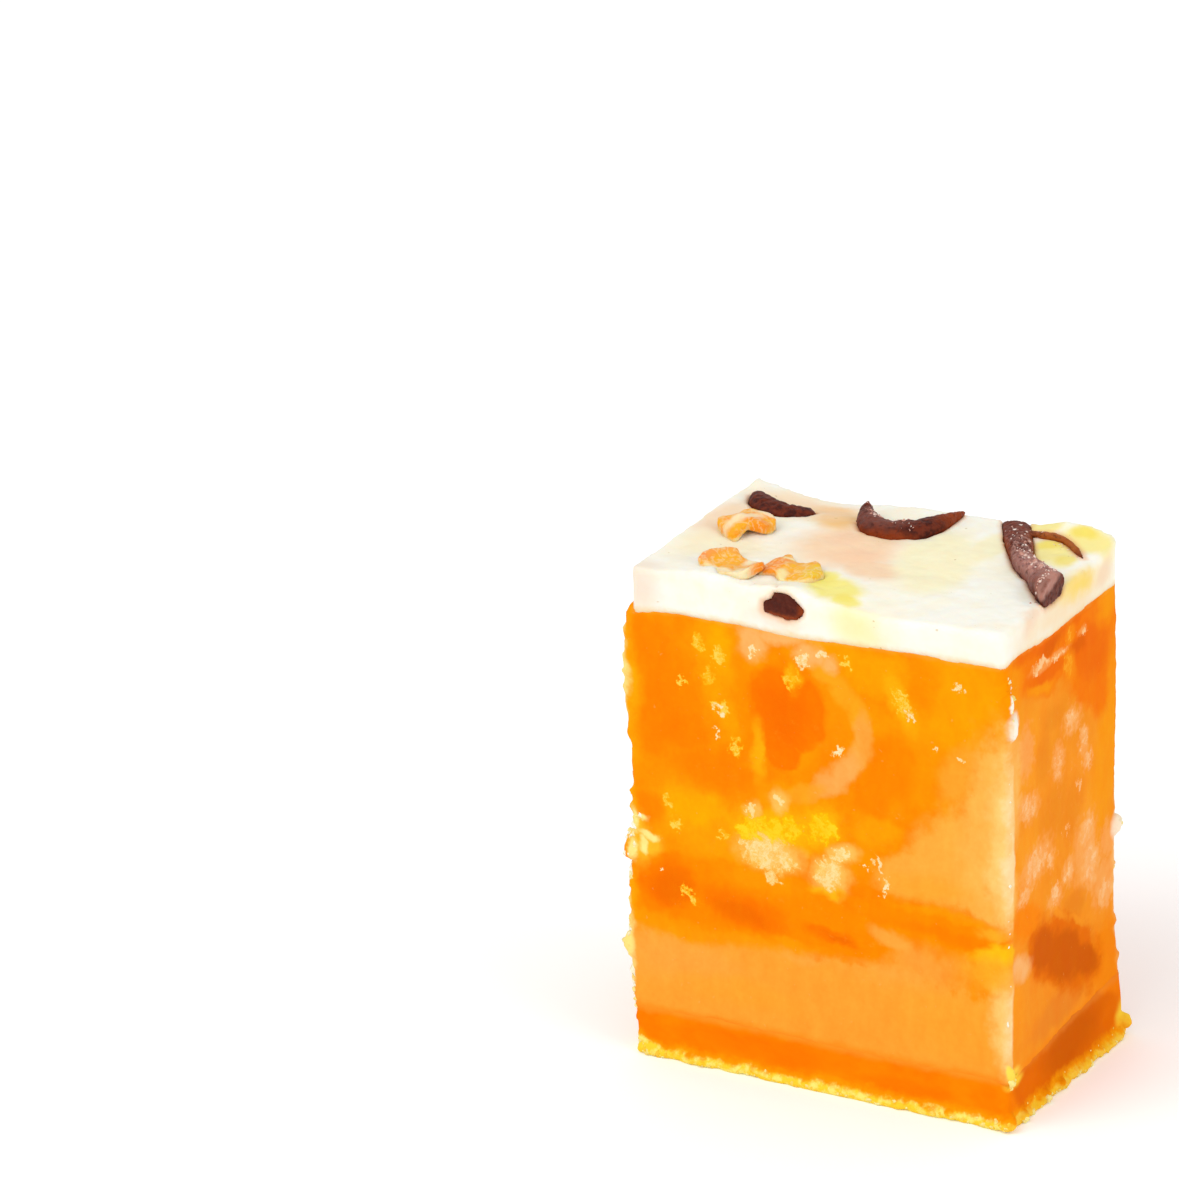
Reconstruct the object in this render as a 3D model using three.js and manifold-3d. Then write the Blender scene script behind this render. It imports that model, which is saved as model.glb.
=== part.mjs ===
// A hand-cut block of layered orange fudge, standing on its foot: a dark orange base layer, a marbled orange body and a
// thick poured layer of white fudge, with chocolate curls, a chocolate chip and candied orange peel set into the white.
// Millimetres, +Z up. The origin is the centre of the foot. The wide cut face looks along -Y and a narrow one along +X.
import * as THREE from "three";
import { mergeVertices } from "three/addons/utils/BufferGeometryUtils.js";
import Module from "manifold-3d";

const wasm = await Module();
wasm.setup();

// ---- Driving dimensions ----
const FOOT = { width: 40.0, depth: 24.4 }; // the block where it stands
const HEAD = { width: 39.6, depth: 26.0 }; // the block at the height of its icing: a little narrower and deeper
const HEIGHT = 52; // to the calm part of the icing's top
const BASE_THICKNESS = 5.3; // the dark layer at the foot, on the front cut face
const ICING_THICKNESS = 3.7; // on the front cut face
const ICING_LEFT = 0.75; // how far the knife dragged the icing's left side in, past the body under it
const EDGE_ROUND = 0.5; // the wear of the upright knife-cut edges
const GAP = 0.25; // the air kept between pieces that touch
const LIP = { reach: 0.5, rise: 1.1 }; // the ragged lip that the knife squeezed out along the foot
const CUT_ABOVE = 4; // how far the cutting shapes run past the calm top

// ---- The uneven surfaces ----
// A swell is a soft hump (or a dip, where its rise is negative) at u, v, as wide as its spreads.
const swell = (u, v, rise, spreadU, spreadV = spreadU) => ({ u, v, rise, spreadU, spreadV });
const sumOf = (swells, u, v) =>
  swells.reduce((sum, s) => sum + s.rise * Math.exp(-(((u - s.u) / s.spreadU) ** 2) - ((v - s.v) / s.spreadV) ** 2), 0);

// On the icing's top and on the seam under it, u is x and v is y.
const TOP_SWELLS = [
  swell(-3.2, -13.0, 1.1, 2.2, 2.6), // icing heaped over the chip in the front cut face
  swell(-11.5, -12.5, 0.8, 3.4, 3.5), // and beside the folded peel
  swell(15.5, 13.0, 1.25, 3.8, 2.4), // a high corner at the back
  swell(7.5, -13.0, -0.45, 5.0, 4.0), // the low stretch of the front edge
  swell(-11.0, 12.0, -1.35, 6.0, 4.5), // the low back corner
  swell(-0.5, 9.5, -0.35, 4.0, 3.0), // the hollow inside the back curl
  swell(4.0, -2.0, -0.2, 6.0, 3.0),
];
const SEAM_SWELLS = [
  swell(-19.5, -12.5, -0.75, 2.5, 9.0),
  swell(-10.5, -12.5, -0.15, 2.2, 3.0),
  swell(-2.5, -12.5, -0.3, 3.0, 4.0),
  swell(11.0, -12.5, 0.4, 4.5, 5.0),
  swell(19.5, -10.0, 0.9, 4.0, 4.0),
  swell(17.0, 12.5, -0.5, 6.0, 5.0),
  swell(-8.0, 8.0, 0.9, 4.0, 4.0),
];
// On a side, u runs along it and v is the height.
const SIDE_SWELLS = {
  left: [swell(0, 41, 0.95, 60, 8), swell(0, 13, 0.9, 60, 9)],
  right: [swell(12, 3, 0.85, 6, 6), swell(3, 0, 0.85, 9, 3.2), swell(-12, 28, 0.3, 9, 14), swell(12, 50, -0.35, 6, 5)],
  front: [swell(4, 30, 0.15, 14, 12), swell(-16, 20, 0.1, 5, 5)],
  back: [swell(-3, 27, 0.3, 12, 11), swell(14, 5, 0.25, 8, 5)],
};
const icingTop = (x, y) => HEIGHT + sumOf(TOP_SWELLS, x, y);
const icingSeam = (x, y) => HEIGHT - ICING_THICKNESS + sumOf(SEAM_SWELLS, x, y);
const baseSeam = (x, y) => BASE_THICKNESS + 0.055 * (y + FOOT.depth / 2) + 0.2 * Math.sin(x / 5) * Math.cos(y / 6);

const halfSizeAt = (z) => ({
  x: THREE.MathUtils.lerp(FOOT.width, HEAD.width, z / HEIGHT) / 2,
  y: THREE.MathUtils.lerp(FOOT.depth, HEAD.depth, z / HEIGHT) / 2,
});

// Where a point of the plain tapered block lies on the uneven one.
function onWalls(x, y, z) {
  const half = halfSizeAt(z);
  const outX = x > 0 ? sumOf(SIDE_SWELLS.right, y, z) : -sumOf(SIDE_SWELLS.left, y, z);
  const outY = y > 0 ? sumOf(SIDE_SWELLS.back, x, z) : -sumOf(SIDE_SWELLS.front, x, z);
  return [x + (outX * Math.abs(x)) / half.x, y + (outY * Math.abs(y)) / half.y, z];
}

// ---- Chance, always drawn the same way ----
function dice(seed) {
  let state = seed;
  return (low = 0, high = 1) => {
    state = (state * 1664525 + 1013904223) % 4294967296;
    return low + (high - low) * (state / 4294967296);
  };
}

// ---- From three.js geometry to solids and back ----
function welded(geometry) {
  const bare = geometry.clone();
  bare.deleteAttribute("normal");
  bare.deleteAttribute("uv");
  return mergeVertices(bare, 1e-4);
}

function solidOf(geometry) {
  const closed = welded(geometry);
  const vertProperties = new Float32Array(closed.attributes.position.array);
  return new wasm.Manifold(new wasm.Mesh({ numProp: 3, vertProperties, triVerts: new Uint32Array(closed.index.array) }));
}

function geometryOf(solid) {
  const { numProp, numVert, vertProperties, triVerts } = solid.getMesh();
  const corners = new Float32Array(numVert * 3);
  for (let i = 0; i < numVert; i++) corners.set(vertProperties.subarray(i * numProp, i * numProp + 3), i * 3);
  const geometry = new THREE.BufferGeometry().setAttribute("position", new THREE.BufferAttribute(corners, 3));
  geometry.setIndex(new THREE.BufferAttribute(triVerts, 1));
  geometry.computeVertexNormals();
  return geometry;
}

// Moves each vertex of a geometry to the place that the function gives for it.
function reshape(geometry, place) {
  const at = geometry.attributes.position;
  for (let i = 0; i < at.count; i++) at.setXYZ(i, ...place(new THREE.Vector3().fromBufferAttribute(at, i), i));
  return geometry;
}

// The same geometry with its surface moved outward, which is the pocket that a piece needs.
function grown(geometry, by) {
  const fat = welded(geometry);
  fat.computeVertexNormals();
  const { normal } = fat.attributes;
  return reshape(fat, (p, i) => p.addScaledVector(new THREE.Vector3().fromBufferAttribute(normal, i), by));
}

const fused = (solids) => solids.reduce((whole, one) => whole.add(one));

// The largest connected piece of a solid, with no loose crumbs and no sealed pockets.
const wholePiece = (solid) => solid.decompose().reduce((best, one) => (one.volume() > best.volume() ? one : best));

// ---- The block and its layers ----
const WALL_CELLS = { x: 9, y: 7, z: 14 };

// The block as one tall column, which all its layers are cut from. Its four upright edges are slightly rounded.
function column() {
  const top = HEIGHT + CUT_ABOVE;
  // The first and the last cell along a side are as narrow as the edge's rounding.
  const graded = (share, cells, half) => {
    const step = Math.round((share + 0.5) * cells);
    if (step === 0 || step === cells) return Math.sign(share) * half;
    return ((step - 1) / (cells - 2) - 0.5) * 2 * (half - EDGE_ROUND);
  };
  const cornerPull = EDGE_ROUND * (1 - Math.SQRT1_2);
  return solidOf(
    reshape(new THREE.BoxGeometry(1, 1, 1, WALL_CELLS.x, WALL_CELLS.y, WALL_CELLS.z), (p) => {
      const z = (p.z + 0.5) * top;
      const half = halfSizeAt(z);
      const pull = Math.abs(p.x) === 0.5 && Math.abs(p.y) === 0.5 ? cornerPull : 0;
      const x = graded(p.x, WALL_CELLS.x, half.x) - Math.sign(p.x) * pull;
      const y = graded(p.y, WALL_CELLS.y, half.y) - Math.sign(p.y) * pull;
      return onWalls(x, y, z);
    }),
  );
}

// Everything between two uneven surfaces, to cut a layer with: wider than the block, unless a left end is given.
function slab(low, high, [cellsX, cellsY], left = -FOOT.width * 0.6) {
  const right = FOOT.width * 0.6;
  const box = new THREE.BoxGeometry(1, FOOT.depth * 1.25, 1, cellsX, cellsY, 1);
  const ragged = (y) => 0.16 * Math.sin(2.1 * y) + 0.1 * Math.sin(5.3 * y);
  return solidOf(
    reshape(box, (p) => {
      const x = THREE.MathUtils.lerp(left, right, p.x + 0.5) + (p.x === -0.5 ? ragged(p.y) : 0);
      return [x, p.y, p.z > 0 ? high(x, p.y) : low(x, p.y)];
    }),
  );
}

// ---- Crumbs ----
// A lump with uneven corners, stretched to its size and turned at random.
function lump(place, size, roll, detail = 0) {
  const rough = welded(new THREE.IcosahedronGeometry(1, detail));
  reshape(rough, (p) => p.multiplyScalar(roll(0.7, 1.15)));
  rough.scale(...size);
  rough.rotateX(roll(-0.5, 0.5));
  rough.rotateZ(roll(-0.6, 0.6));
  rough.translate(...place);
  return rough;
}
const crumb = (place, size, roll, detail) => solidOf(lump(place, size, roll, detail));

// The foot's outline at a share of the way round it: the point on the wall, and the outward direction.
function footOutline(share) {
  const half = halfSizeAt(0);
  const sides = [
    { from: [-half.x, -half.y], along: [1, 0], out: [0, -1], length: 2 * half.x },
    { from: [half.x, -half.y], along: [0, 1], out: [1, 0], length: 2 * half.y },
    { from: [half.x, half.y], along: [-1, 0], out: [0, 1], length: 2 * half.x },
    { from: [-half.x, half.y], along: [0, -1], out: [-1, 0], length: 2 * half.y },
  ];
  let way = (share % 1) * 4 * (half.x + half.y);
  const side = sides.find((s) => way <= s.length || ((way -= s.length), false)) ?? sides[0];
  const [x, y] = onWalls(side.from[0] + side.along[0] * way, side.from[1] + side.along[1] * way, 0);
  return { x, y, outX: side.out[0], outY: side.out[1] };
}

// The thin ragged lip along the foot, wider at some places than at others.
function footLip(points = 88) {
  const roll = dice(11);
  const reach = Array.from({ length: points }, () => LIP.reach * roll(0.2, 1.3));
  const rise = Array.from({ length: points }, () => LIP.rise * roll(0.5, 1.25));
  const inside = 0.5; // the lip's upper edge starts this far within the wall
  const ring = new THREE.CylinderGeometry(1, 1, 1, points, 2).rotateX(Math.PI / 2);
  return solidOf(
    reshape(ring, (p) => {
      const level = Math.round((p.z + 0.5) * 2); // 0 on the floor, 2 where the lip meets the wall
      if (Math.hypot(p.x, p.y) < 0.5) return [0, 0, level === 0 ? 0 : LIP.rise];
      const turn = (Math.atan2(p.y, p.x) / (2 * Math.PI) + 1) % 1;
      const n = Math.round(turn * points) % points;
      const { x, y, outX, outY } = footOutline(n / points);
      const out = [reach[n] * 0.7, reach[n], -inside][level];
      return [x + outX * out, y + outY * out, [0, 0.5, 1][level] * rise[n]];
    }),
  );
}

// Crumbs strewn along the foot, most of them small.
function footCrumbs(count) {
  const roll = dice(23);
  return Array.from({ length: count }, (_, i) => {
    const { x, y, outX, outY } = footOutline((i + roll(0.1, 0.9)) / count);
    const size = roll(0.35, 0.65);
    const out = LIP.reach * roll(0.1, 0.7);
    return crumb([x + outX * out, y + outY * out, size * roll(0.9, 1.6)], [size * roll(1, 1.7), size, size * 0.85], roll);
  });
}

// Crumbs and torn flakes along one upright edge, from low to high. The edge is named by the signs of its x and y.
function edgeCrumbs(signX, signY, low, high, count, seed) {
  const roll = dice(seed);
  return Array.from({ length: count }, (_, i) => {
    const z = low + ((i + roll()) / count) * (high - low);
    const half = halfSizeAt(z);
    const size = roll(0.28, 0.55);
    const place = onWalls(signX * (half.x - 0.1), signY * (half.y - roll(0.1, 0.7)), z);
    return crumb(place, [size, size, size * roll(1, 2)], roll);
  });
}

// The larger flakes: where each sits, and its size.
const FLAKES = {
  leftTear: { place: [-20.3, -12.2, 22.6], size: [0.8, 0.6, 1.9] },
  leftTearTip: { place: [-18.9, -12.3, 24.3], size: [1.0, 0.35, 0.7] },
  leftLump: { place: [-20.9, -12.0, 12.0], size: [0.6, 0.6, 1.2] },
  rightLump: { place: [20.2, -11.9, 42.3], size: [0.6, 1.2, 1.3] },
  rightSliver: { place: [20.2, -12.7, 45.0], size: [0.5, 0.5, 1.3] },
  rightCurl: { place: [20.1, -12.2, 6.1], size: [0.8, 0.45, 0.75] },
  backLump: { place: [20.1, 12.3, 22.5], size: [0.55, 0.6, 1.1] },
  backCrumb: { place: [21.2, 12.2, 1.6], size: [0.75, 0.7, 0.6] },
  cornerLump: { place: [20.1, -12.2, 0.95], size: [0.95, 0.8, 0.8] },
};
const flakes = (names, seed) => names.map((n) => crumb(FLAKES[n].place, FLAKES[n].size, dice(seed + n.length), 1));

// ---- Toppings ----
const curve = (...points) => new THREE.CatmullRomCurve3(points.map((p) => new THREE.Vector3(...p)));

// A bent rod along a curve. width and height are its size across at a share of its length, square is how square its
// section is, and blunt how square its ends are.
function bentRod({ path, width, height, square = 2.6, blunt = 4, rough = 0.07, seed }, [around, along] = [12, 16]) {
  const roll = dice(seed);
  const uneven = Array.from({ length: (along + 1) * around }, () => roll(1 - rough, 1 + rough));
  const up = new THREE.Vector3(0, 0, 1);
  const squared = (c) => Math.sign(c) * Math.abs(c) ** (2 / square);
  const ball = new THREE.SphereGeometry(1, around, along);
  return reshape(ball, (_, i) => {
    const ring = Math.floor(i / (around + 1));
    const step = (i % (around + 1)) % around;
    const share = ring / along;
    const centre = path.getPoint(share);
    if (ring === 0 || ring === along) return centre;
    const side = new THREE.Vector3().crossVectors(up, path.getTangent(share)).normalize();
    const radius = ((1 - Math.abs(2 * share - 1) ** blunt) ** (1 / blunt) * uneven[ring * around + step]) / 2;
    const angle = (-2 * Math.PI * step) / around;
    centre.addScaledVector(side, squared(Math.cos(angle)) * width(share) * radius);
    return centre.addScaledVector(up, squared(Math.sin(angle)) * height(share) * radius);
  });
}

// A size along a path, from its values at the path's points.
const through = (...values) => (share) => {
  const step = share * (values.length - 1);
  const first = Math.min(Math.floor(step), values.length - 2);
  return THREE.MathUtils.lerp(values[first], values[first + 1], step - first);
};

const CURLS = {
  // The crescent near the back edge, open to the back, with a raised tip on its left and a thin one on its right.
  back: {
    path: curve([-5.4, 9.6, 53.2], [-4.7, 7.9, 52.6], [-3.2, 6.1, 52.1], [-1.2, 5.7, 51.9], [0.6, 6.4, 52.0],
      [1.8, 7.8, 52.1], [2.5, 9.6, 52.2], [2.9, 11.3, 52.2], [3.4, 13.2, 52.2]),
    width: through(1.3, 2.2, 3.3, 3.3, 3.1, 2.6, 2.1, 1.6, 1.0),
    height: through(1.0, 1.7, 2.2, 2.2, 2.2, 2.0, 1.8, 1.5, 1.1),
    square: 2.2,
    blunt: 2,
    seed: 31,
  },
  // The long one from the back cut face to the side cut face: the knife cut both its ends.
  side: {
    path: curve([8.0, 15.0, 51.3], [9.6, 11.8, 51.4], [11.4, 8.4, 51.7], [13.5, 4.7, 52.1], [15.3, 2.4, 52.4],
      [17.5, 0.4, 52.6], [19.5, -1.6, 52.7], [22.4, -4.5, 52.7]),
    width: through(3.0, 2.9, 2.7, 2.15, 2.2, 2.6, 3.8, 4.6),
    height: through(2.0, 2.0, 1.9, 1.9, 2.1, 2.4, 2.6, 2.6),
    blunt: 8,
    seed: 37,
  },
  // The thin string of chocolate that was drawn out of it.
  string: {
    path: curve([10.6, 11.2, 52.0], [12.7, 10.7, 52.35], [14.0, 10.6, 52.45], [15.4, 10.2, 52.45], [16.9, 9.1, 52.35], [18.7, 7.2, 52.2]),
    width: (s) => 0.75 - 0.35 * s,
    height: () => 0.55,
    seed: 43,
  },
  // One more, in the far corner.
  corner: {
    path: curve([-17.6, 9.6, 51.5], [-15.4, 7.0, 51.6], [-12.6, 6.4, 51.4], [-10.4, 8.4, 51.1]),
    width: (s) => 1.7 + 1.0 * Math.sin(Math.PI * s),
    height: () => 2.2,
    blunt: 3,
    seed: 41,
  },
};

// A chip of broken chocolate: a lump with many uneven corners.
const CHIP = { place: [-3.0, -12.35, 50.9], size: [2.5, 1.65, 1.4] };

// Candied peel: a strip, folded and crumpled. fold is how far its middle stands up over its ends.
const PEELS = {
  folded: { place: [-10.4, -9.4, 53.0], size: [6.0, 4.2, 0.9], fold: -1.1, turn: -0.38, seed: 71 },
  flat: { place: [-5.0, -7.7, 52.1], size: [6.0, 4.3, 0.8], fold: 0.25, turn: -0.25, seed: 73 },
  corner: { place: [-13.8, 0.2, 52.4], size: [5.2, 3.6, 1.2], fold: 0.8, turn: 0.9, seed: 79 },
};
function peel({ place, size: [length, width, thick], fold, turn, seed }) {
  const roll = dice(seed);
  const corners = 5; // how square the strip's outline is
  const strip = reshape(welded(new THREE.BoxGeometry(1, 1, 1, 8, 5, 1)), (p) => {
    const across = Math.abs(2 * p.y);
    const rim = (Math.abs(2 * p.x) ** corners + across ** corners) ** (1 / corners) || 1;
    const reach = Math.max(Math.abs(2 * p.x), across) / rim;
    const x = p.x * reach * length;
    const y = p.y * reach * width * (1 + 0.2 * Math.sin(1.9 * x));
    const bend = fold * Math.cos((Math.PI * x) / length) * (1 - 0.3 * across);
    const crumple = 0.2 * Math.sin(1.6 * x + 0.8 * y + seed) + roll(-0.05, 0.05);
    return [x, y, p.z * thick * (1 - 0.35 * across ** 2) + bend + crumple];
  });
  return strip.rotateZ(turn).translate(...place);
}

// ---- Materials ----
const finish = (name, color, roughness) => new THREE.MeshStandardMaterial({ name, color, roughness, metalness: 0 });
const MATERIALS = {
  base: finish("base_fudge", 0xe87a08, 0.45),
  body: finish("orange_fudge", 0xff9a22, 0.42),
  icing: finish("white_icing", 0xfff0dc, 0.5),
  chocolate: finish("dark_chocolate", 0x4a1a0c, 0.5),
  peel: finish("candied_peel", 0xf79a22, 0.35),
};

const block = new THREE.Group();
function addNode(name, solid, material) {
  const mesh = new THREE.Mesh(geometryOf(wholePiece(solid)), material);
  mesh.name = name;
  block.add(mesh);
}

// ---- The pieces ----
const walls = column();
const COARSE = [12, 8];
const FINE = [18, 12];
const below = (surface) => (x, y) => surface(x, y) - GAP / 2;
const above = (surface) => (x, y) => surface(x, y) + GAP / 2;
const baseRoom = slab(() => 0, below(baseSeam), COARSE);
const bodyRoom = slab(above(baseSeam), below(icingSeam), COARSE);
const icingRoom = slab(above(icingSeam), icingTop, FINE, -FOOT.width / 2 + ICING_LEFT);

const baseRelief = [footLip(), ...footCrumbs(26), ...edgeCrumbs(-1, -1, 1.2, 4.6, 2, 101), ...flakes(["backCrumb", "cornerLump"], 7)];
addNode("base_layer", walls.add(fused(baseRelief)).intersect(baseRoom), MATERIALS.base);

const bodyRelief = [
  ...edgeCrumbs(-1, -1, 7, 47, 16, 131),
  ...edgeCrumbs(1, -1, 43.5, 47.5, 4, 109),
  ...edgeCrumbs(1, 1, 7, 26, 4, 113),
  ...edgeCrumbs(-1, 1, 8, 40, 5, 127),
  ...flakes(["leftTear", "leftTearTip", "leftLump", "rightLump", "rightSliver", "rightCurl", "backLump"], 9),
];
addNode("fudge_body", walls.add(fused(bodyRelief)).intersect(bodyRoom), MATERIALS.body);

const { chocolate, peel: candied } = MATERIALS;
const TOPPINGS = {
  chocolate_curl_back: { parts: [bentRod(CURLS.back)], material: chocolate },
  chocolate_curl_side: { parts: [bentRod(CURLS.side), bentRod(CURLS.string, [8, 10])], material: chocolate },
  chocolate_curl_corner: { parts: [bentRod(CURLS.corner)], material: chocolate },
  chocolate_chip: { parts: [lump(CHIP.place, CHIP.size, dice(61), 1)], material: chocolate },
  peel_folded: { parts: [peel(PEELS.folded)], material: candied },
  peel_flat: { parts: [peel(PEELS.flat)], material: candied },
  peel_corner: { parts: [peel(PEELS.corner)], material: candied },
};

let icing = walls.intersect(icingRoom);
let taken = null; // what the toppings placed so far keep clear for themselves
for (const [name, { parts, material }] of Object.entries(TOPPINGS)) {
  const pocket = fused(parts.map((part) => solidOf(grown(part, GAP))));
  const topping = fused(parts.map(solidOf)).intersect(walls);
  addNode(name, taken ? topping.subtract(taken) : topping, material);
  icing = icing.subtract(pocket);
  taken = taken ? taken.add(pocket) : pocket;
}
addNode("white_icing", icing, MATERIALS.icing);

// The crumbs stick out a little further on one side than on the other: the middle of it all is put over the origin.
const middle = new THREE.Box3().setFromObject(block).getCenter(new THREE.Vector3());
block.position.set(-middle.x, -middle.y, 0);

export default block;
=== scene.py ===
import logging
import math
import random
from dataclasses import dataclass, field
from enum import Enum
from typing import Callable, Iterable, Sequence

import bpy
import numpy as np
from mathutils import Euler, Matrix, Vector
from mathutils.bvhtree import BVHTree


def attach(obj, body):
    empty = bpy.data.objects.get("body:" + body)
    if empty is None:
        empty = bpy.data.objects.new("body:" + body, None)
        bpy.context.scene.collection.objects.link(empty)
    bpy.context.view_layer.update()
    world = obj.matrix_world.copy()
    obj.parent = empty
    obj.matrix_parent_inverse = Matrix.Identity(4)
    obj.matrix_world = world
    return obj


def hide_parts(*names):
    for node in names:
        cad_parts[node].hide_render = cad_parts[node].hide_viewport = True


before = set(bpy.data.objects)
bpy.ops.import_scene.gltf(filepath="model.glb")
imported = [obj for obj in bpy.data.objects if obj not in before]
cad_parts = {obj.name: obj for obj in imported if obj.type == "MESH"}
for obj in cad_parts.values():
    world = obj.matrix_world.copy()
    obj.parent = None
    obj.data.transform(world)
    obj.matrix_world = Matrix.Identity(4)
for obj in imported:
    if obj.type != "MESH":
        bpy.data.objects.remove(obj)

log = logging.getLogger("fudge")

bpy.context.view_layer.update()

Triple = tuple[float, float, float]
Colour = tuple[float, float, float, float]
Socket = bpy.types.NodeSocket

MM = 0.001
HOME: Triple = (-0.21855, 0.13131, 0.0)  # mm from the frame's middle to the block's own middle
FRONT_Y = -12.5  # mm, the front face
RIGHT_X = 20.6  # mm, the right face
DEEP_FRONT = 40.0  # mm, half the length of a blob that runs in from the front face
DEEP_RIGHT = 60.0  # mm, the same from the right face
SEAM_REACH = 4.0  # mm from its neighbour over which a layer knows its seam
STUDIO = 1.15  # how much brighter than its own colour a white card looks in this studio


def spot(x: float, y: float, z: float) -> Vector:
    """Turns a place on the block into a place in the frame.

    Args:
        x: Millimetres to the right of the block's middle.
        y: Millimetres back from it.
        z: Millimetres above the foot.

    Returns:
        The place in metres.
    """
    return Vector((x + HOME[0], y + HOME[1], z + HOME[2])) * MM


def tint(red: int, green: int, blue: int) -> Colour:
    """Turns a colour, as it looks in this studio on the 0 to 255 scale, into the linear one a shader takes.

    Args:
        red: Red, 0 to 255.
        green: Green, 0 to 255.
        blue: Blue, 0 to 255.

    Returns:
        The linear colour with full alpha.
    """

    def linear(value: float) -> float:
        """One channel, made linear."""
        value /= 255
        return (value / 12.92 if value <= 0.04045 else ((value + 0.055) / 1.055) ** 2.4) / STUDIO

    return (linear(red), linear(green), linear(blue), 1.0)


class Slot(Enum):
    """The record's material slots."""

    BASE = "base_fudge"
    BODY = "orange_fudge"
    ICING = "white_icing"
    CHOCOLATE = "dark_chocolate"
    PEEL = "candied_peel"


# ---------------------------------------------------------------- node trees


FRAY = 0.3  # how far ragged noise pushes a stain's edge, in shares of its size
FRAY_SOFT = 0.9  # how much farther at a fade of 1
GRAIN_GONE, GRAIN_THICK = 1.6, 0.45  # distances from a blob's middle, 1 being its skin
GRAIN_THIN = 0.5  # how much grains lose where they are gone
GRAIN_DETAIL, GRAIN_ROUGH = 6.0, 0.78  # how broken their noise is
GLOW, GRAIN, CORE = (-0.12, 0.03, 0.6), (-0.015, 0.05, 0.85), (0.07, 0.14, 0.8)  # start, end, cover


@dataclass(frozen=True)
class Blob:
    """A soft ellipsoid in the block.

    Attributes:
        place: Its middle, in millimetres.
        size: Half its size along its three axes.
        turn: How it is turned round them, in degrees.
    """

    place: Triple
    size: Triple
    turn: Triple = (0.0, 0.0, 0.0)


@dataclass(frozen=True)
class Patch:
    """A smooth patch of one colour with the form of its blobs; most are stains, and some are painted glow,
    sheen or shade.

    Attributes:
        colour: Its colour.
        blobs: Where it is.
        strength: How much of it covers what is under it.
        fade: The share of a blob's size over which it fades.
        frayed: Whether it is as broken as the grains.
    """

    colour: Colour
    blobs: tuple[Blob, ...]
    strength: float = 1.0
    fade: float = 0.5
    frayed: bool = False


@dataclass(frozen=True)
class Flecks:
    """Broken grains, thick where their blobs are and gone outside them.

    Attributes:
        blobs: Where they are.
        glow: The colour round a grain.
        colour: A grain's own colour.
        core: The colour of its middle.
        scale: Grains in a millimetre.
        stretch: How the grain is pulled: under 1 makes it longer that way.
        lean: How far the top of the grain leans to the front on the right face, in degrees.
        least: The noise at which a grain begins: lower is thicker.
        strength: How much of them covers what is under them.
    """

    blobs: tuple[Blob, ...]
    glow: Colour
    colour: Colour
    core: Colour
    scale: float = 0.9
    stretch: Triple = (1.0, 1.0, 0.6)
    least: float = 0.5
    strength: float = 1.0
    lean: float = 0.0


@dataclass(frozen=True)
class Marbling:
    """The colours of one face.

    Attributes:
        low: One of its two ground colours.
        high: The other.
        stains: The stains over them, the lowest first, with some patches of painted glow and shade among
            them.
        grains: The grains on top.
    """

    low: Colour
    high: Colour
    stains: tuple[Patch, ...]
    grains: tuple[Flecks, ...]


@dataclass(frozen=True)
class Skin:
    """How a finish takes the light.

    Attributes:
        roughness: The shader's roughness.
        gloss: The shader's specular level.
        soft: The share of light that goes in and comes out elsewhere.
        reach: How far red, green and blue go inside, in millimetres.
    """

    roughness: float = 0.5
    gloss: float = 0.3
    soft: float = 0.3
    reach: Triple = (1.2, 0.6, 0.3)


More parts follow.
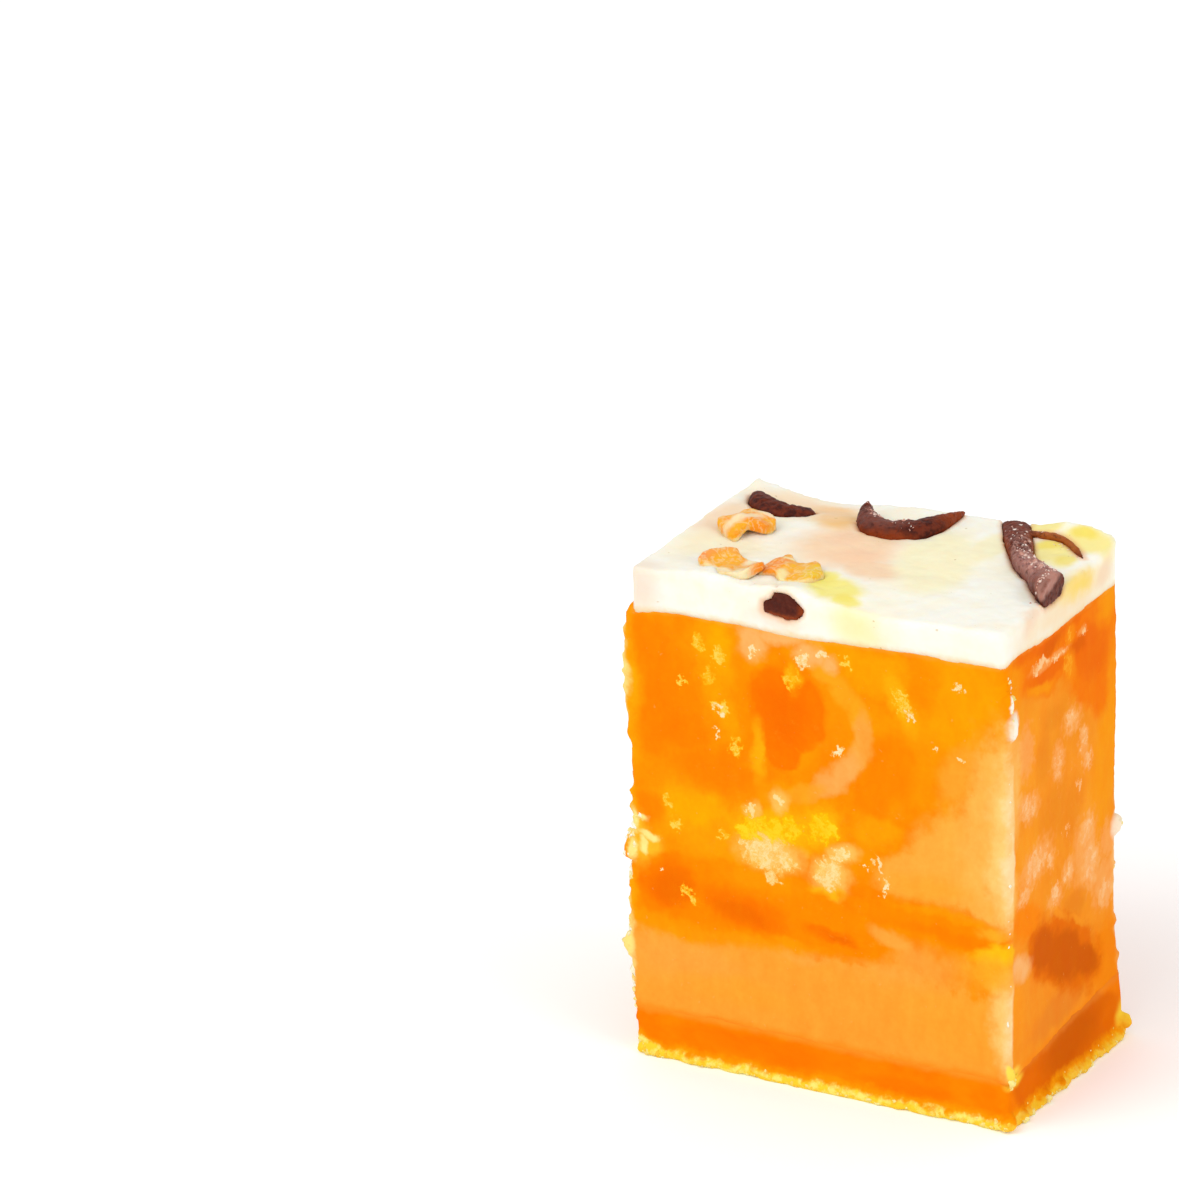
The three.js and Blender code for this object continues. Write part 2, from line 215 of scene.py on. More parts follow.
class Graph:
    """A material's node tree, written as short calls.

    Places in it are millimetres from the block's middle.
    """

    def __init__(self, name: str, skin: Skin) -> None:
        """Starts a material with its shader and its coordinates.

        Args:
            name: The material's name.
            skin: How it takes the light.
        """
        self.material = bpy.data.materials.new(name)
        self.material.use_nodes = True
        self.tree = self.material.node_tree
        self.tree.nodes.clear()
        self.shader = self.add("ShaderNodeBsdfPrincipled")
        out = self.add("ShaderNodeOutputMaterial")
        self.link(self.shader.outputs[0], out.inputs["Surface"])
        for socket, value in (
            ("Roughness", skin.roughness),
            ("Specular IOR Level", skin.gloss),
            ("Subsurface Weight", skin.soft),
            ("Subsurface Radius", tuple(r * MM for r in skin.reach)),
            ("Subsurface Scale", 1.0),
        ):
            self.shader.inputs[socket].default_value = value
        coords = self.add("ShaderNodeTexCoord")
        scale = self.add("ShaderNodeMapping", Vector=coords.outputs["Object"])
        scale.inputs["Scale"].default_value = (1 / MM,) * 3
        scale.inputs["Location"].default_value = tuple(-h for h in HOME)
        self.place = scale.outputs[0]

    def add(self, kind: str, **inputs: object) -> bpy.types.Node:
        """Adds a node.

        Args:
            kind: Blender's name for it.
            **inputs: Its sockets by name, each with a number or with a socket to link.

        Returns:
            The node.
        """
        node = self.tree.nodes.new(kind)
        for name, value in inputs.items():
            self.feed(node.inputs[name], value)
        return node

    def link(self, source: Socket, target: Socket) -> None:
        """Links two sockets."""
        self.tree.links.new(source, target)

    def feed(self, target: Socket, value: object) -> None:
        """Fills a socket.

        Args:
            target: The socket.
            value: Another socket to link to it, or its number or colour.
        """
        if isinstance(value, bpy.types.NodeSocket):
            self.link(value, target)
        else:
            target.default_value = value

    def math(self, operation: str, *values: object) -> Socket:
        """Adds one sum.

        Args:
            operation: Blender's name for it.
            *values: The numbers or sockets it takes, up to three.

        Returns:
            Its result.
        """
        node = self.add("ShaderNodeMath")
        node.operation = operation
        for socket, value in zip(node.inputs, values):
            self.feed(socket, value)
        return node.outputs[0]

    def vector(self, operation: str, a: object, b: object = (0.0, 0.0, 0.0), scale: float = 1.0) -> Socket:
        """Adds one sum on vectors.

        Args:
            operation: Blender's name for it.
            a: The first vector or socket.
            b: The second one.
            scale: The number a SCALE multiplies by.

        Returns:
            Its result, a number for DOT_PRODUCT and DISTANCE.
        """
        node = self.add("ShaderNodeVectorMath")
        node.operation = operation
        self.feed(node.inputs[0], a)
        self.feed(node.inputs[1], b)
        if operation == "SCALE":
            node.inputs["Scale"].default_value = scale
        return node.outputs["Value" if operation in ("DOT_PRODUCT", "DISTANCE") else "Vector"]

    def axis(self, place: Socket, letter: str) -> Socket:
        """One coordinate of a place."""
        return self.add("ShaderNodeSeparateXYZ", Vector=place).outputs[letter]

    def ramp(self, value: object, low: float, high: float) -> Socket:
        """Adds a smooth step.

        Args:
            value: The number or socket it follows.
            low: The value at which it is 0.
            high: The value at which it is 1, above low or below it.

        Returns:
            The step.
        """
        node = self.add("ShaderNodeMapRange", Value=value)
        node.interpolation_type = "SMOOTHSTEP"
        node.inputs["From Min"].default_value = low
        node.inputs["From Max"].default_value = high
        return node.outputs[0]

    def mix(self, share: object, a: object, b: object) -> Socket:
        """Turns one colour into another.

        Args:
            share: How much of the second there is, 0 to 1.
            a: The first colour or socket.
            b: The second one.

        Returns:
            The new colour.
        """
        node = self.add("ShaderNodeMix")
        node.data_type = "RGBA"
        self.feed(node.inputs[0], share)
        self.feed(node.inputs[6], a)
        self.feed(node.inputs[7], b)
        return node.outputs[2]

    def lay(self, under: Socket, colour: object, share: Socket, strength: float = 1.0) -> Socket:
        """Lays a colour over another.

        Args:
            under: The colour under it.
            colour: The colour on top.
            share: How much of it there is, 0 to 1.
            strength: How much of it covers where the share is 1.

        Returns:
            The new colour.
        """
        if strength != 1.0:
            share = self.math("MULTIPLY", share, strength)
        return self.mix(share, under, colour)

    def noise(
        self, place: Socket, scale: float, detail: float = 3.0, rough: float = 0.55, colour: bool = False
    ) -> Socket:
        """Adds cloudy noise.

        Args:
            place: Where it is read.
            scale: Its lumps in a millimetre.
            detail: How many finer layers it has.
            rough: How strong they are.
            colour: Whether it is wanted as three numbers.

        Returns:
            The noise, about 0.5.
        """
        node = self.add("ShaderNodeTexNoise", Vector=place, Scale=scale, Detail=detail, Roughness=rough)
        return node.outputs["Color" if colour else "Fac"]

    def swing(self, noise: Socket, amount: float) -> Socket:
        """Makes noise swing about 0.

        Args:
            noise: Noise about 0.5.
            amount: How far it swings from end to end.

        Returns:
            The new number.
        """
        return self.math("MULTIPLY", self.math("SUBTRACT", noise, 0.5), amount)

    def stretched(self, place: Socket, scale: Triple, turn: Triple = (0.0, 0.0, 0.0)) -> Socket:
        """Turns and pulls a place, for a grain with a direction.

        Args:
            place: The place.
            scale: How it is pulled: under 1 makes the grain longer that way.
            turn: How it is turned, in degrees.

        Returns:
            The new place, for noise alone.
        """
        node = self.add("ShaderNodeMapping", Vector=place)
        node.vector_type = "TEXTURE"
        node.inputs["Scale"].default_value = tuple(1 / s for s in scale)
        node.inputs["Rotation"].default_value = tuple(math.radians(t) for t in turn)
        return node.outputs[0]

    def warped(self, place: Socket, scale: float, amount: float, detail: float = 2.0) -> Socket:
        """Pushes a place about by noise, so that what is drawn there runs unevenly.

        Args:
            place: The place.
            scale: The noise's lumps in a millimetre.
            amount: How far it pushes, in millimetres.
            detail: How many finer layers it has.

        Returns:
            The new place.
        """
        push = self.vector("SUBTRACT", self.noise(place, scale, detail, colour=True), (0.5, 0.5, 0.5))
        return self.vector("ADD", place, self.vector("SCALE", push, scale=amount))

    def distance(self, place: Socket, blobs: Iterable[Blob]) -> Socket:
        """Measures how far a place is from the nearest blob.

        Args:
            place: The place.
            blobs: The blobs, of which there is at least one.

        Returns:
            The distance, 0 at a blob's middle and 1 at its skin.
        """
        nearest: Socket | None = None
        for blob in blobs:
            turned = Euler([math.radians(t) for t in blob.turn]).to_matrix()
            axes = [turned.col[i] / blob.size[i] for i in range(3)]
            if any(blob.turn):
                x, y, z = (self.vector("DOT_PRODUCT", place, tuple(axis)) for axis in axes)
                across = self.add("ShaderNodeCombineXYZ", X=x, Y=y, Z=z).outputs[0]
            else:
                across = self.vector("MULTIPLY", place, tuple(1 / s for s in blob.size))
            far = self.vector("DISTANCE", across, tuple(axis.dot(Vector(blob.place)) for axis in axes))
            nearest = far if nearest is None else self.math("MINIMUM", nearest, far)
        assert nearest is not None
        return nearest

    def stain(self, base: Socket, place: Socket, patch: Patch, ragged: Socket | None = None) -> Socket:
        """Lays a smooth patch over a colour.

        Args:
            base: The colour under it.
            place: Where it is read.
            patch: The patch.
            ragged: Noise about 0 that frays its edge, or none.

        Returns:
            The new colour.
        """
        far = self.distance(place, patch.blobs)
        if ragged is not None:
            far = self.math("MULTIPLY_ADD", ragged, FRAY + FRAY_SOFT * patch.fade, far)
        return self.lay(base, patch.colour, self.ramp(far, 1 + patch.fade, 1 - patch.fade), patch.strength)

    def fleck(self, base: Socket, place: Socket, flecks: Flecks) -> Socket:
        """Scatters grains over a colour.

        Args:
            base: The colour under them.
            place: Where the pattern is read.
            flecks: The grains.

        Returns:
            The new colour.
        """
        inside = self.ramp(self.distance(place, flecks.blobs), GRAIN_GONE, GRAIN_THICK)
        pulled = self.stretched(place, flecks.stretch, (flecks.lean, 0.0, 0.0))
        grain = self.noise(pulled, flecks.scale, GRAIN_DETAIL, GRAIN_ROUGH)
        lifted = self.math(
            "ADD", grain, self.math("MULTIPLY", self.math("SUBTRACT", inside, 1.0), GRAIN_THIN),
        )
        for (start, end, cover), colour in ((GLOW, flecks.glow), (GRAIN, flecks.colour), (CORE, flecks.core)):
            step = self.ramp(lifted, flecks.least + start, flecks.least + end)
            base = self.lay(base, colour, step, cover * flecks.strength)
        return base

    def varied(self, colour: Socket, noise: Socket, amount: float) -> Socket:
        """Makes a colour a little yellower and redder by turns.

        Args:
            colour: The colour.
            noise: Noise from 0 to 1.
            amount: The share by which its green swings; its blue swings by twice that.

        Returns:
            The new colour.
        """
        swing = self.swing(noise, 2 * amount)
        green = self.math("ADD", swing, 1.0)
        blue = self.math("ADD", self.math("MULTIPLY", swing, 2.0), 1.0)
        share = self.add("ShaderNodeCombineXYZ", X=1.0, Y=green, Z=blue)
        return self.vector("MULTIPLY", colour, share.outputs[0])

    def marbled(self, place: Socket, near: Socket, ragged: Socket, marbling: Marbling) -> Socket:
        """Builds up one face's marbling.

        Args:
            place: Where its stains are read.
            near: Where its grains are read.
            ragged: Noise about 0 that frays the stains.
            marbling: The face's colours.

        Returns:
            The colour.
        """
        colour = self.mix(
            self.ramp(self.noise(self.place, 0.16, 3.0), 0.35, 0.65), marbling.low, marbling.high,
        )
        for patch in marbling.stains:
            colour = self.stain(colour, near if patch.frayed else place, patch, ragged)
        for flecks in marbling.grains:
            colour = self.fleck(colour, near, flecks)
        return colour

    def attribute(self, name: str) -> Socket:
        """Reads a number that the mesh carries at each vertex.

        Args:
            name: The attribute that holds it.

        Returns:
            The number.
        """
        node = self.add("ShaderNodeAttribute")
        node.attribute_name = name
        return node.outputs["Fac"]

    def bump(self, height: Socket, depth: float, strength: float = 1.0) -> None:
        """Gives the skin its finest grain.

        Args:
            height: The grain, 0 to 1.
            depth: How high 1 stands, in millimetres.
            strength: How much of it shows.
        """
        node = self.add("ShaderNodeBump", Height=height)
        node.inputs["Strength"].default_value = strength
        node.inputs["Distance"].default_value = depth * MM
        self.link(node.outputs[0], self.shader.inputs["Normal"])

    def finish(self, colour: Socket) -> bpy.types.Material:
        """Takes the last colour and hands the material over.

        Args:
            colour: The colour.

        Returns:
            The material.
        """
        self.link(colour, self.shader.inputs["Base Color"])
        return self.material


# ---------------------------------------------------------------- meshes


def alone(obj: bpy.types.Object) -> None:
    """Selects one object and makes it active.

    Args:
        obj: The object.
    """
    bpy.ops.object.select_all(action="DESELECT")
    obj.select_set(True)
    bpy.context.view_layer.objects.active = obj


def apply(obj: bpy.types.Object, kind: str, **settings: object) -> None:
    """Adds a modifier and applies it.

    Args:
        obj: The object that gets it.
        kind: Blender's name for the modifier.
        **settings: Its settings by name.
    """
    alone(obj)
    modifier = obj.modifiers.new(kind.lower(), kind)
    for name, value in settings.items():
        setattr(modifier, name, value)
    bpy.ops.object.modifier_apply(modifier=modifier.name)


def copy_of(node: str, name: str) -> bpy.types.Object:
    """Copies a CAD node's mesh into a new object and merges its loose triangles.

    Args:
        node: The CAD node.
        name: The new piece's name.

    Returns:
        The new object.
    """
    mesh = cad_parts[node].data.copy()
    mesh.name = name
    mesh.materials.clear()
    obj = bpy.data.objects.new(name, mesh)
    bpy.context.scene.collection.objects.link(obj)
    alone(obj)
    bpy.ops.object.mode_set(mode="EDIT")
    bpy.ops.mesh.select_all(action="SELECT")
    bpy.ops.mesh.remove_doubles(threshold=1e-6)
    bpy.ops.mesh.customdata_custom_splitnormals_clear()
    bpy.ops.object.mode_set(mode="OBJECT")
    return obj


def points_of(obj: bpy.types.Object) -> np.ndarray:
    """Reads a mesh's vertices.

    Args:
        obj: The object.

    Returns:
        One row a vertex, in metres.
    """
    flat = np.empty(len(obj.data.vertices) * 3, np.float32)
    obj.data.vertices.foreach_get("co", flat)
    return flat.reshape(-1, 3)


def carry(obj: bpy.types.Object, name: str, values: Sequence[float]) -> None:
    """Gives a mesh one number a vertex, for its material.

    Args:
        obj: The object.
        name: The attribute that holds it.
        values: The numbers.
    """
    obj.data.attributes.new(name, "FLOAT", "POINT").data.foreach_set("value", np.asarray(values, np.float32))


def cloud(name: str, size: float, depth: int = 2) -> bpy.types.Texture:
    """Makes a cloudy relief.

    Args:
        name: Its name.
        size: Its lumps, in millimetres.
        depth: How many finer layers it has.

    Returns:
        The texture that a modifier reads.
    """
    texture = bpy.data.textures.new(name, "CLOUDS")
    texture.noise_scale = size * MM
    texture.noise_depth = depth
    return texture


def weigh(obj: bpy.types.Object, name: str, weight: Callable[[float, float, float], float]) -> str:
    """Makes a vertex group.

    Args:
        obj: The object that gets it.
        name: The group's name.
        weight: Gives a vertex's weight from its place on the block, in millimetres.

    Returns:
        The group's name.
    """
    group = obj.vertex_groups.new(name=name)
    for index, (x, y, z) in enumerate(points_of(obj) / MM - np.array(HOME, np.float32)):
        share = weight(float(x), float(y), float(z))
        if share > 0.01:
            group.add([index], min(1.0, share), "REPLACE")
    return name


def roughen(
    obj: bpy.types.Object,
    name: str,
    size: float,
    height: float,
    depth: int = 2,
    group: str = "",
    middle: float = 0.5,
) -> None:
    """Pushes the skin in and out by a cloudy relief.

    Args:
        obj: The piece.
        name: The relief's name.
        size: Its lumps, in millimetres.
        height: Its height from lowest to highest, in millimetres.
        depth: How many finer layers it has.
        group: The vertex group that it is held to, or none.
        middle: The height, 0 to 1, that stays where it is.
    """
    relief = cloud(name, size, depth)
    settings = {
        "texture_coords": "LOCAL", "strength": height * MM, "mid_level": middle, "vertex_group": group,
    }
    apply(obj, "DISPLACE", texture=relief, **settings)


def resurface(obj: bpy.types.Object, voxel: float, grow: float) -> None:
    """Gives a piece a fine even skin, a little outside its own.

    Args:
        obj: The piece.
        voxel: The size of its new faces, in millimetres.
        grow: How far the skin moves out, in millimetres.
    """
    apply(obj, "REMESH", mode="VOXEL", voxel_size=voxel * MM)
    apply(obj, "DISPLACE", strength=grow * MM, mid_level=0.0)


def stand(obj: bpy.types.Object) -> None:
    """Keeps a piece from going under the floor.

    Args:
        obj: The piece.
    """
    points = points_of(obj)
    points[:, 2] = np.maximum(points[:, 2], 0.0)
    obj.data.vertices.foreach_set("co", points.ravel())
    obj.data.update()


def tree_of(obj: bpy.types.Object) -> BVHTree:
    """Makes a piece's faces ready to be asked what lies nearest or along a ray.

    Args:
        obj: The piece.

    Returns:
        The tree of faces.
    """
    return BVHTree.FromPolygons([v.co for v in obj.data.vertices], [p.vertices for p in obj.data.polygons])


def seam_distance(obj: bpy.types.Object, neighbours: Sequence[str]) -> list[float]:
    """Measures how far each vertex is from the nearest CAD neighbour.

    Args:
        obj: The piece.
        neighbours: The CAD nodes beside it.

    Returns:
        One distance a vertex in millimetres, at most SEAM_REACH.
    """
    trees = [tree_of(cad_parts[n]) for n in neighbours]
    found = []
    for vertex in obj.data.vertices:
        near = [t.find_nearest(vertex.co, SEAM_REACH * MM)[3] for t in trees]
        found.append(min([n / MM for n in near if n is not None] + [SEAM_REACH]))
    return found


def shade_smooth(obj: bpy.types.Object) -> None:
    """Smooths a piece's shading.

    Args:
        obj: The piece.
    """
    alone(obj)
    bpy.ops.object.shade_smooth()


def hand_over(obj: bpy.types.Object, replaced: Sequence[str] = ()) -> None:
    """Rides a finished piece on the block, hides the CAD nodes it stands for and logs its faces.

    Args:
        obj: The finished piece.
        replaced: The CAD nodes it stands for.
    """
    obj.vertex_groups.clear()
    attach(obj, "root")
    if replaced:
        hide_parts(*replaced)
    log.info("%s: %d faces", obj.name, len(obj.data.polygons))


# ---------------------------------------------------------------- finishes


def front(*spots: tuple[float, ...]) -> tuple[Blob, ...]:
    """Blobs on the front face.

    Args:
        *spots: For each x, z, half its width, half its height and, if it leans, how far its right end is
            raised, in degrees.

    Returns:
        The blobs, which run deep into the block.
    """
    return tuple(
        Blob((x, FRONT_Y, z), (wide, DEEP_FRONT, high), (0.0, -sum(lean), 0.0))
        for x, z, wide, high, *lean in spots
    )


def side(*spots: tuple[float, ...]) -> tuple[Blob, ...]:
    """Blobs on the right face.

    Args:
        *spots: For each y, z, half its width, half its height and, if it leans, how far its back end is
            raised, in degrees.

    Returns:
        The blobs, which run deep into the block.
    """
    return tuple(
        Blob((RIGHT_X, y, z), (DEEP_RIGHT, wide, high), (sum(lean), 0.0, 0.0))
        for y, z, wide, high, *lean in spots
    )


FRONT = Marbling(
    tint(252, 131, 0),
    tint(254, 148, 3),
    (
        # amber at the top right, in the left half and beside the heart
        Patch(
            tint(254, 158, 3),
            front(
                (14.6, 44.2, 6.2, 5.4), (7.2, 45.6, 5.0, 2.4), (2.8, 47.2, 3.2, 1.4), (-10.8, 43.6, 2.0, 5.2),
                (-9.4, 38.2, 1.4, 2.2),
            ),
            0.9, 0.45,
        ),
        Patch(
            tint(253, 158, 5),
            front(
                (-14, 27.6, 4.8, 4.2), (-10.4, 24.8, 4.6, 2.8), (-3.0, 31.0, 5.4, 2.0), (6.2, 29.4, 2.6, 1.8),
            ),
            0.9, 0.45,
        ),
        Patch(tint(255, 171, 2), front((-13.4, 28.2, 3.2, 1.9), (-10.2, 45.4, 1.0, 2.4)), 0.8, 0.6),
        Patch(
            tint(252, 125, 0),
            front(
                (-10.8, 32.8, 4.8, 2.4, -4), (-17.6, 45, 2.6, 2.8), (-14.6, 35.8, 3.4, 1.8),
                (-17.6, 36.6, 2.4, 4.0), (-18.2, 27.0, 1.6, 1.6),
            ),
            0.75, 0.5,
        ),
        Patch(tint(254, 138, 0), front((11.6, 45.6, 1.5, 2.9), (-7.9, 40.4, 0.9, 4.6)), 0.8, 0.5),
        # the pale zone at the right
        Patch(
            tint(253, 171, 62),
            front(
                (19.6, 33, 4.0, 9.4, -12), (14.8, 27.6, 5.0, 5.6, -28), (10.6, 25.6, 4.4, 2.3, 14),
                (18.4, 23.2, 2.6, 1.6),
            ),
            1.0, 0.25,
        ),
        Patch(tint(253, 184, 84), front((20.4, 30.6, 4.4, 9.4)), 0.85, 0.6),
        Patch(tint(253, 166, 48), front((11.4, 24.2, 4.0, 1.4), (14.8, 36.6, 1.6, 2.8, -24)), 0.8, 0.6),
        # the second deep one
        Patch(tint(254, 149, 3), front((10.0, 37.8, 3.0, 4.2, -24)), 0.85, 0.4),
        Patch(tint(253, 133, 0), front((8.0, 36.4, 2.6, 3.9, -22), (6.0, 32.6, 1.8, 2.0, -20)), 0.95, 0.35),
        # the arc round the heart
        Patch(tint(254, 143, 4), front((1.2, 40.6, 3.2, 4.0)), 0.8, 0.4),
        Patch(
            tint(254, 162, 26),
            front((1.1, 44.6, 1.8, 0.9, -22), (3.2, 43.2, 2.1, 1.0, -45), (4.8, 41.2, 1.0, 1.9, 12)), 0.95,
            0.42,
        ),
        Patch(tint(254, 164, 62), front((5.3, 39.0, 1.05, 2.2, 2), (4.6, 36.8, 1.15, 1.6, -22)), 0.95, 0.42),
        Patch(tint(253, 169, 80), front((3.1, 35.1, 2.3, 1.1, 50), (1.1, 33.4, 2.2, 1.05, 38)), 0.95, 0.42),
        Patch(tint(254, 162, 34), front((-1.2, 32.1, 2.3, 0.9, 24), (-3.6, 31.3, 2.0, 0.8, 10)), 0.8, 0.5),
        # the heart
        Patch(
            tint(250, 119, 0),
            front(
                (-4.2, 41.2, 3.0, 3.2), (-1.0, 41.2, 2.3, 2.5), (-4.0, 38.4, 2.5, 3.4),
                (-1.4, 38.6, 2.8, 2.1, 30), (-3.5, 35.6, 2.0, 1.7),
            ),
            1.0, 0.2,
        ),
        Patch(tint(244, 110, 0), front((-3.6, 39.6, 2.6, 2.9, 20)), 0.9, 0.6),
        # peach under the icing
        Patch(
            tint(253, 182, 104),
            front(
                (-6.6, 46.9, 1.5, 1.9, -12), (-3.8, 47.8, 2.8, 0.8), (-0.5, 46.4, 1.4, 1.2),
                (1.4, 45.8, 1.0, 0.8),
            ),
            0.85, 0.55,
        ),
        Patch(
            tint(254, 180, 14),
            front((9.4, 43.2, 1.0, 2.6, 30), (-2.4, 43.6, 0.8, 1.4), (-6.5, 35.8, 0.7, 2.8)), 0.75, 0.6,
        ),
        # under the two clusters
        Patch(tint(254, 178, 10), front((-4.2, 27.6, 5.0, 2.2, 4), (0.6, 28.6, 2.0, 2.2, -10)), 0.95, 0.45),
        Patch(
            tint(253, 190, 88),
            front(
                (-5.3, 24.7, 3.4, 2.0), (-4.8, 22.1, 0.9, 1.1), (1.3, 23.6, 2.1, 2.0),
                (2.7, 26.0, 1.8, 1.0, 22), (-7.1, 28.7, 0.9, 1.5), (-4.2, 30.8, 1.1, 1.3),
            ),
            0.9, 0.45,
        ),
        Patch(tint(255, 184, 14), front((0.8, 21.9, 1.9, 0.7)), 0.9, 0.5),
        # the pale band below, and the dark one over it
        Patch(tint(254, 161, 50), front((0, 3.4, 46, 11.4)), 1.0, 0.06),
        Patch(
            tint(253, 167, 66), front((-15, 11, 6.5, 2.6), (-2.4, 14.6, 3.0, 0.8), (10.0, 15.4, 6, 2.2, 4)),
            0.7, 0.6,
        ),
        Patch(tint(254, 165, 46), front((15, 10.5, 6, 3.6), (-10, 8.8, 7, 1.4)), 0.6, 0.7),
        Patch(tint(253, 151, 4), front((-12, 15.0, 9.5, 1.5, 2)), 0.95, 0.35),
        Patch(
            tint(253, 137, 0),
            front((-9.6, 18.9, 13.6, 3.8, -1), (0.8, 18.4, 7.4, 2.9, -16), (13.6, 20.0, 11.0, 1.45, -8)), 1.0,
            0.16,
        ),
        Patch(
            tint(254, 152, 4),
            front((14.4, 21.4, 6.0, 0.5, -7), (-6.4, 21.6, 3.6, 0.9), (-2.4, 15.6, 3.4, 0.6, -4)), 0.8, 0.6,
        ),
        Patch(
            tint(246, 117, 0),
            front((-16.4, 18.9, 3.6, 2.7), (-8.0, 17.8, 4.4, 2.0, -3), (1.4, 17.4, 3.0, 0.8, -18)), 0.9, 0.4,
        ),
        Patch(
            tint(238, 108, 0),
            front((-15.8, 18.8, 2.2, 1.7), (-8.6, 17.4, 2.6, 1.0), (2.2, 17.1, 1.7, 0.3, -20)), 0.8, 0.6,
        ),
        Patch(tint(249, 126, 0), front((13.6, 19.5, 5.4, 0.6, -8)), 0.8, 0.6),
        Patch(tint(254, 168, 64), front((7.8, 18.0, 2.4, 1.0, -16)), 0.9, 0.45),
        # the two upright edges; the pale strips along both are painted glow of light at the edges
        Patch(tint(254, 204, 116), front((21.5, 30.4, 3.0, 9.8), (21.5, 11.4, 2.9, 5.8)), 0.9, 0.4),
        Patch(tint(255, 232, 184), front((21.4, 30.6, 1.4, 10.0), (21.4, 11.4, 1.4, 5.4)), 0.7, 0.5),
        Patch(tint(253, 190, 20), front((19.2, 18.3, 2.6, 1.0, 10)), 0.95, 0.45),
        Patch(tint(254, 176, 40), front((18.8, 16.4, 2.2, 1.6), (18.6, 20.2, 1.6, 0.6)), 0.75, 0.6),
        Patch(
            tint(254, 172, 8), front((-21.2, 38, 1.6, 10.6), (-21.0, 28, 1.4, 3), (-21.2, 17.4, 1.4, 2.8)),
            0.8, 0.6,
        ),
        # pale strip along the left edge: painted glow at the edge
        Patch(
            tint(255, 232, 140), front((-21.5, 40, 0.9, 8.6), (-21.4, 10, 0.9, 5.4), (-21.5, 31, 0.9, 3.6)),
            0.8, 0.5,
        ),
        Patch(tint(253, 188, 40), front((-20.0, 23.4, 1.6, 2.8), (-18.4, 23.2, 1.4, 1.2)), 0.9, 0.5),
        Patch(
            tint(255, 234, 140),
            front(
                (-20.3, 25.1, 0.6, 1.4), (-19.5, 25.6, 1.0, 0.4, 14), (-18.5, 24.0, 1.0, 0.5, -12),
                (-20.4, 21.9, 0.6, 1.2), (-19.2, 22.9, 0.5, 0.8),
            ),
            0.95, 0.45,
        ),
    ),
    (
        Flecks(  # yellow trails
            front(
                (-12.5, 45.6, 0.8, 1.0), (-10.2, 44.7, 0.8, 1.4), (-11.4, 42.5, 0.7, 1.3),
                (-10.0, 39.1, 0.9, 1.0), (-8.6, 35.2, 0.8, 1.2), (-14.4, 41.3, 0.5, 0.6),
                (-2.4, 43.6, 0.9, 1.3), (3.3, 46.3, 0.6, 0.8), (9.2, 43.4, 1.0, 1.9, 30),
                (-16.2, 28.2, 0.7, 1.0), (-15.2, 26.1, 0.8, 1.2, 20), (-10.0, 25.6, 0.6, 1.0),
                (-13.8, 18.6, 0.5, 1.8, 42),
            ),
            tint(254, 164, 8), tint(255, 186, 28), tint(255, 210, 88), 0.8, (1, 1, 0.7), 0.40,
        ),
        Flecks(  # pale specks
            front(
                (-10.2, 38.8, 0.6, 0.5), (-10.5, 36.5, 0.35, 0.6), (-6.8, 45.6, 0.5, 1.0, -20),
                (-1.2, 45.8, 0.7, 1.0), (0.8, 46.8, 0.6, 0.4), (2.4, 36.8, 0.5, 0.9, -28),
                (10.2, 42.2, 0.4, 0.8, 25), (15.2, 46.0, 0.5, 0.5), (15.5, 38.4, 0.35, 0.35),
                (5.2, 25.2, 0.3, 0.3), (6.6, 26.0, 0.4, 1.2, 14), (7.2, 23.8, 0.4, 1.0, -4),
                (-17.0, 20.6, 0.3, 0.3), (12.6, 39.0, 0.3, 0.3),
            ),
            tint(254, 186, 84), tint(255, 212, 140), tint(255, 230, 186), 1.1, (1, 1, 0.8), 0.38,
        ),
        Flecks(
            front((-4.4, 27.4, 4.6, 1.8, 4), (0.6, 28.6, 1.8, 1.9, -10), (-7.4, 26.6, 1.5, 1.2)),
            tint(254, 180, 8), tint(255, 196, 6), tint(255, 212, 40), 0.8, (1.2, 1, 0.5), 0.39,
        ),
        Flecks(
            front(
                (-5.3, 24.6, 3.4, 2.0), (-4.8, 22.2, 0.8, 1.1), (1.2, 23.7, 1.8, 1.8),
                (2.6, 26.0, 1.5, 0.8, 22), (-7.1, 28.8, 0.5, 1.0), (-4.2, 30.8, 0.5, 0.8),
            ),
            tint(253, 186, 78), tint(253, 206, 116), tint(255, 226, 162), 0.85, (1.2, 1, 0.55), 0.38, 0.9,
        ),
        Flecks(
            front((0, 28, 22, 22)), tint(254, 160, 40), tint(254, 176, 66), tint(255, 198, 106), 1.2,
            (1, 1, 0.7), 0.68, 0.55,
        ),
    ),
)
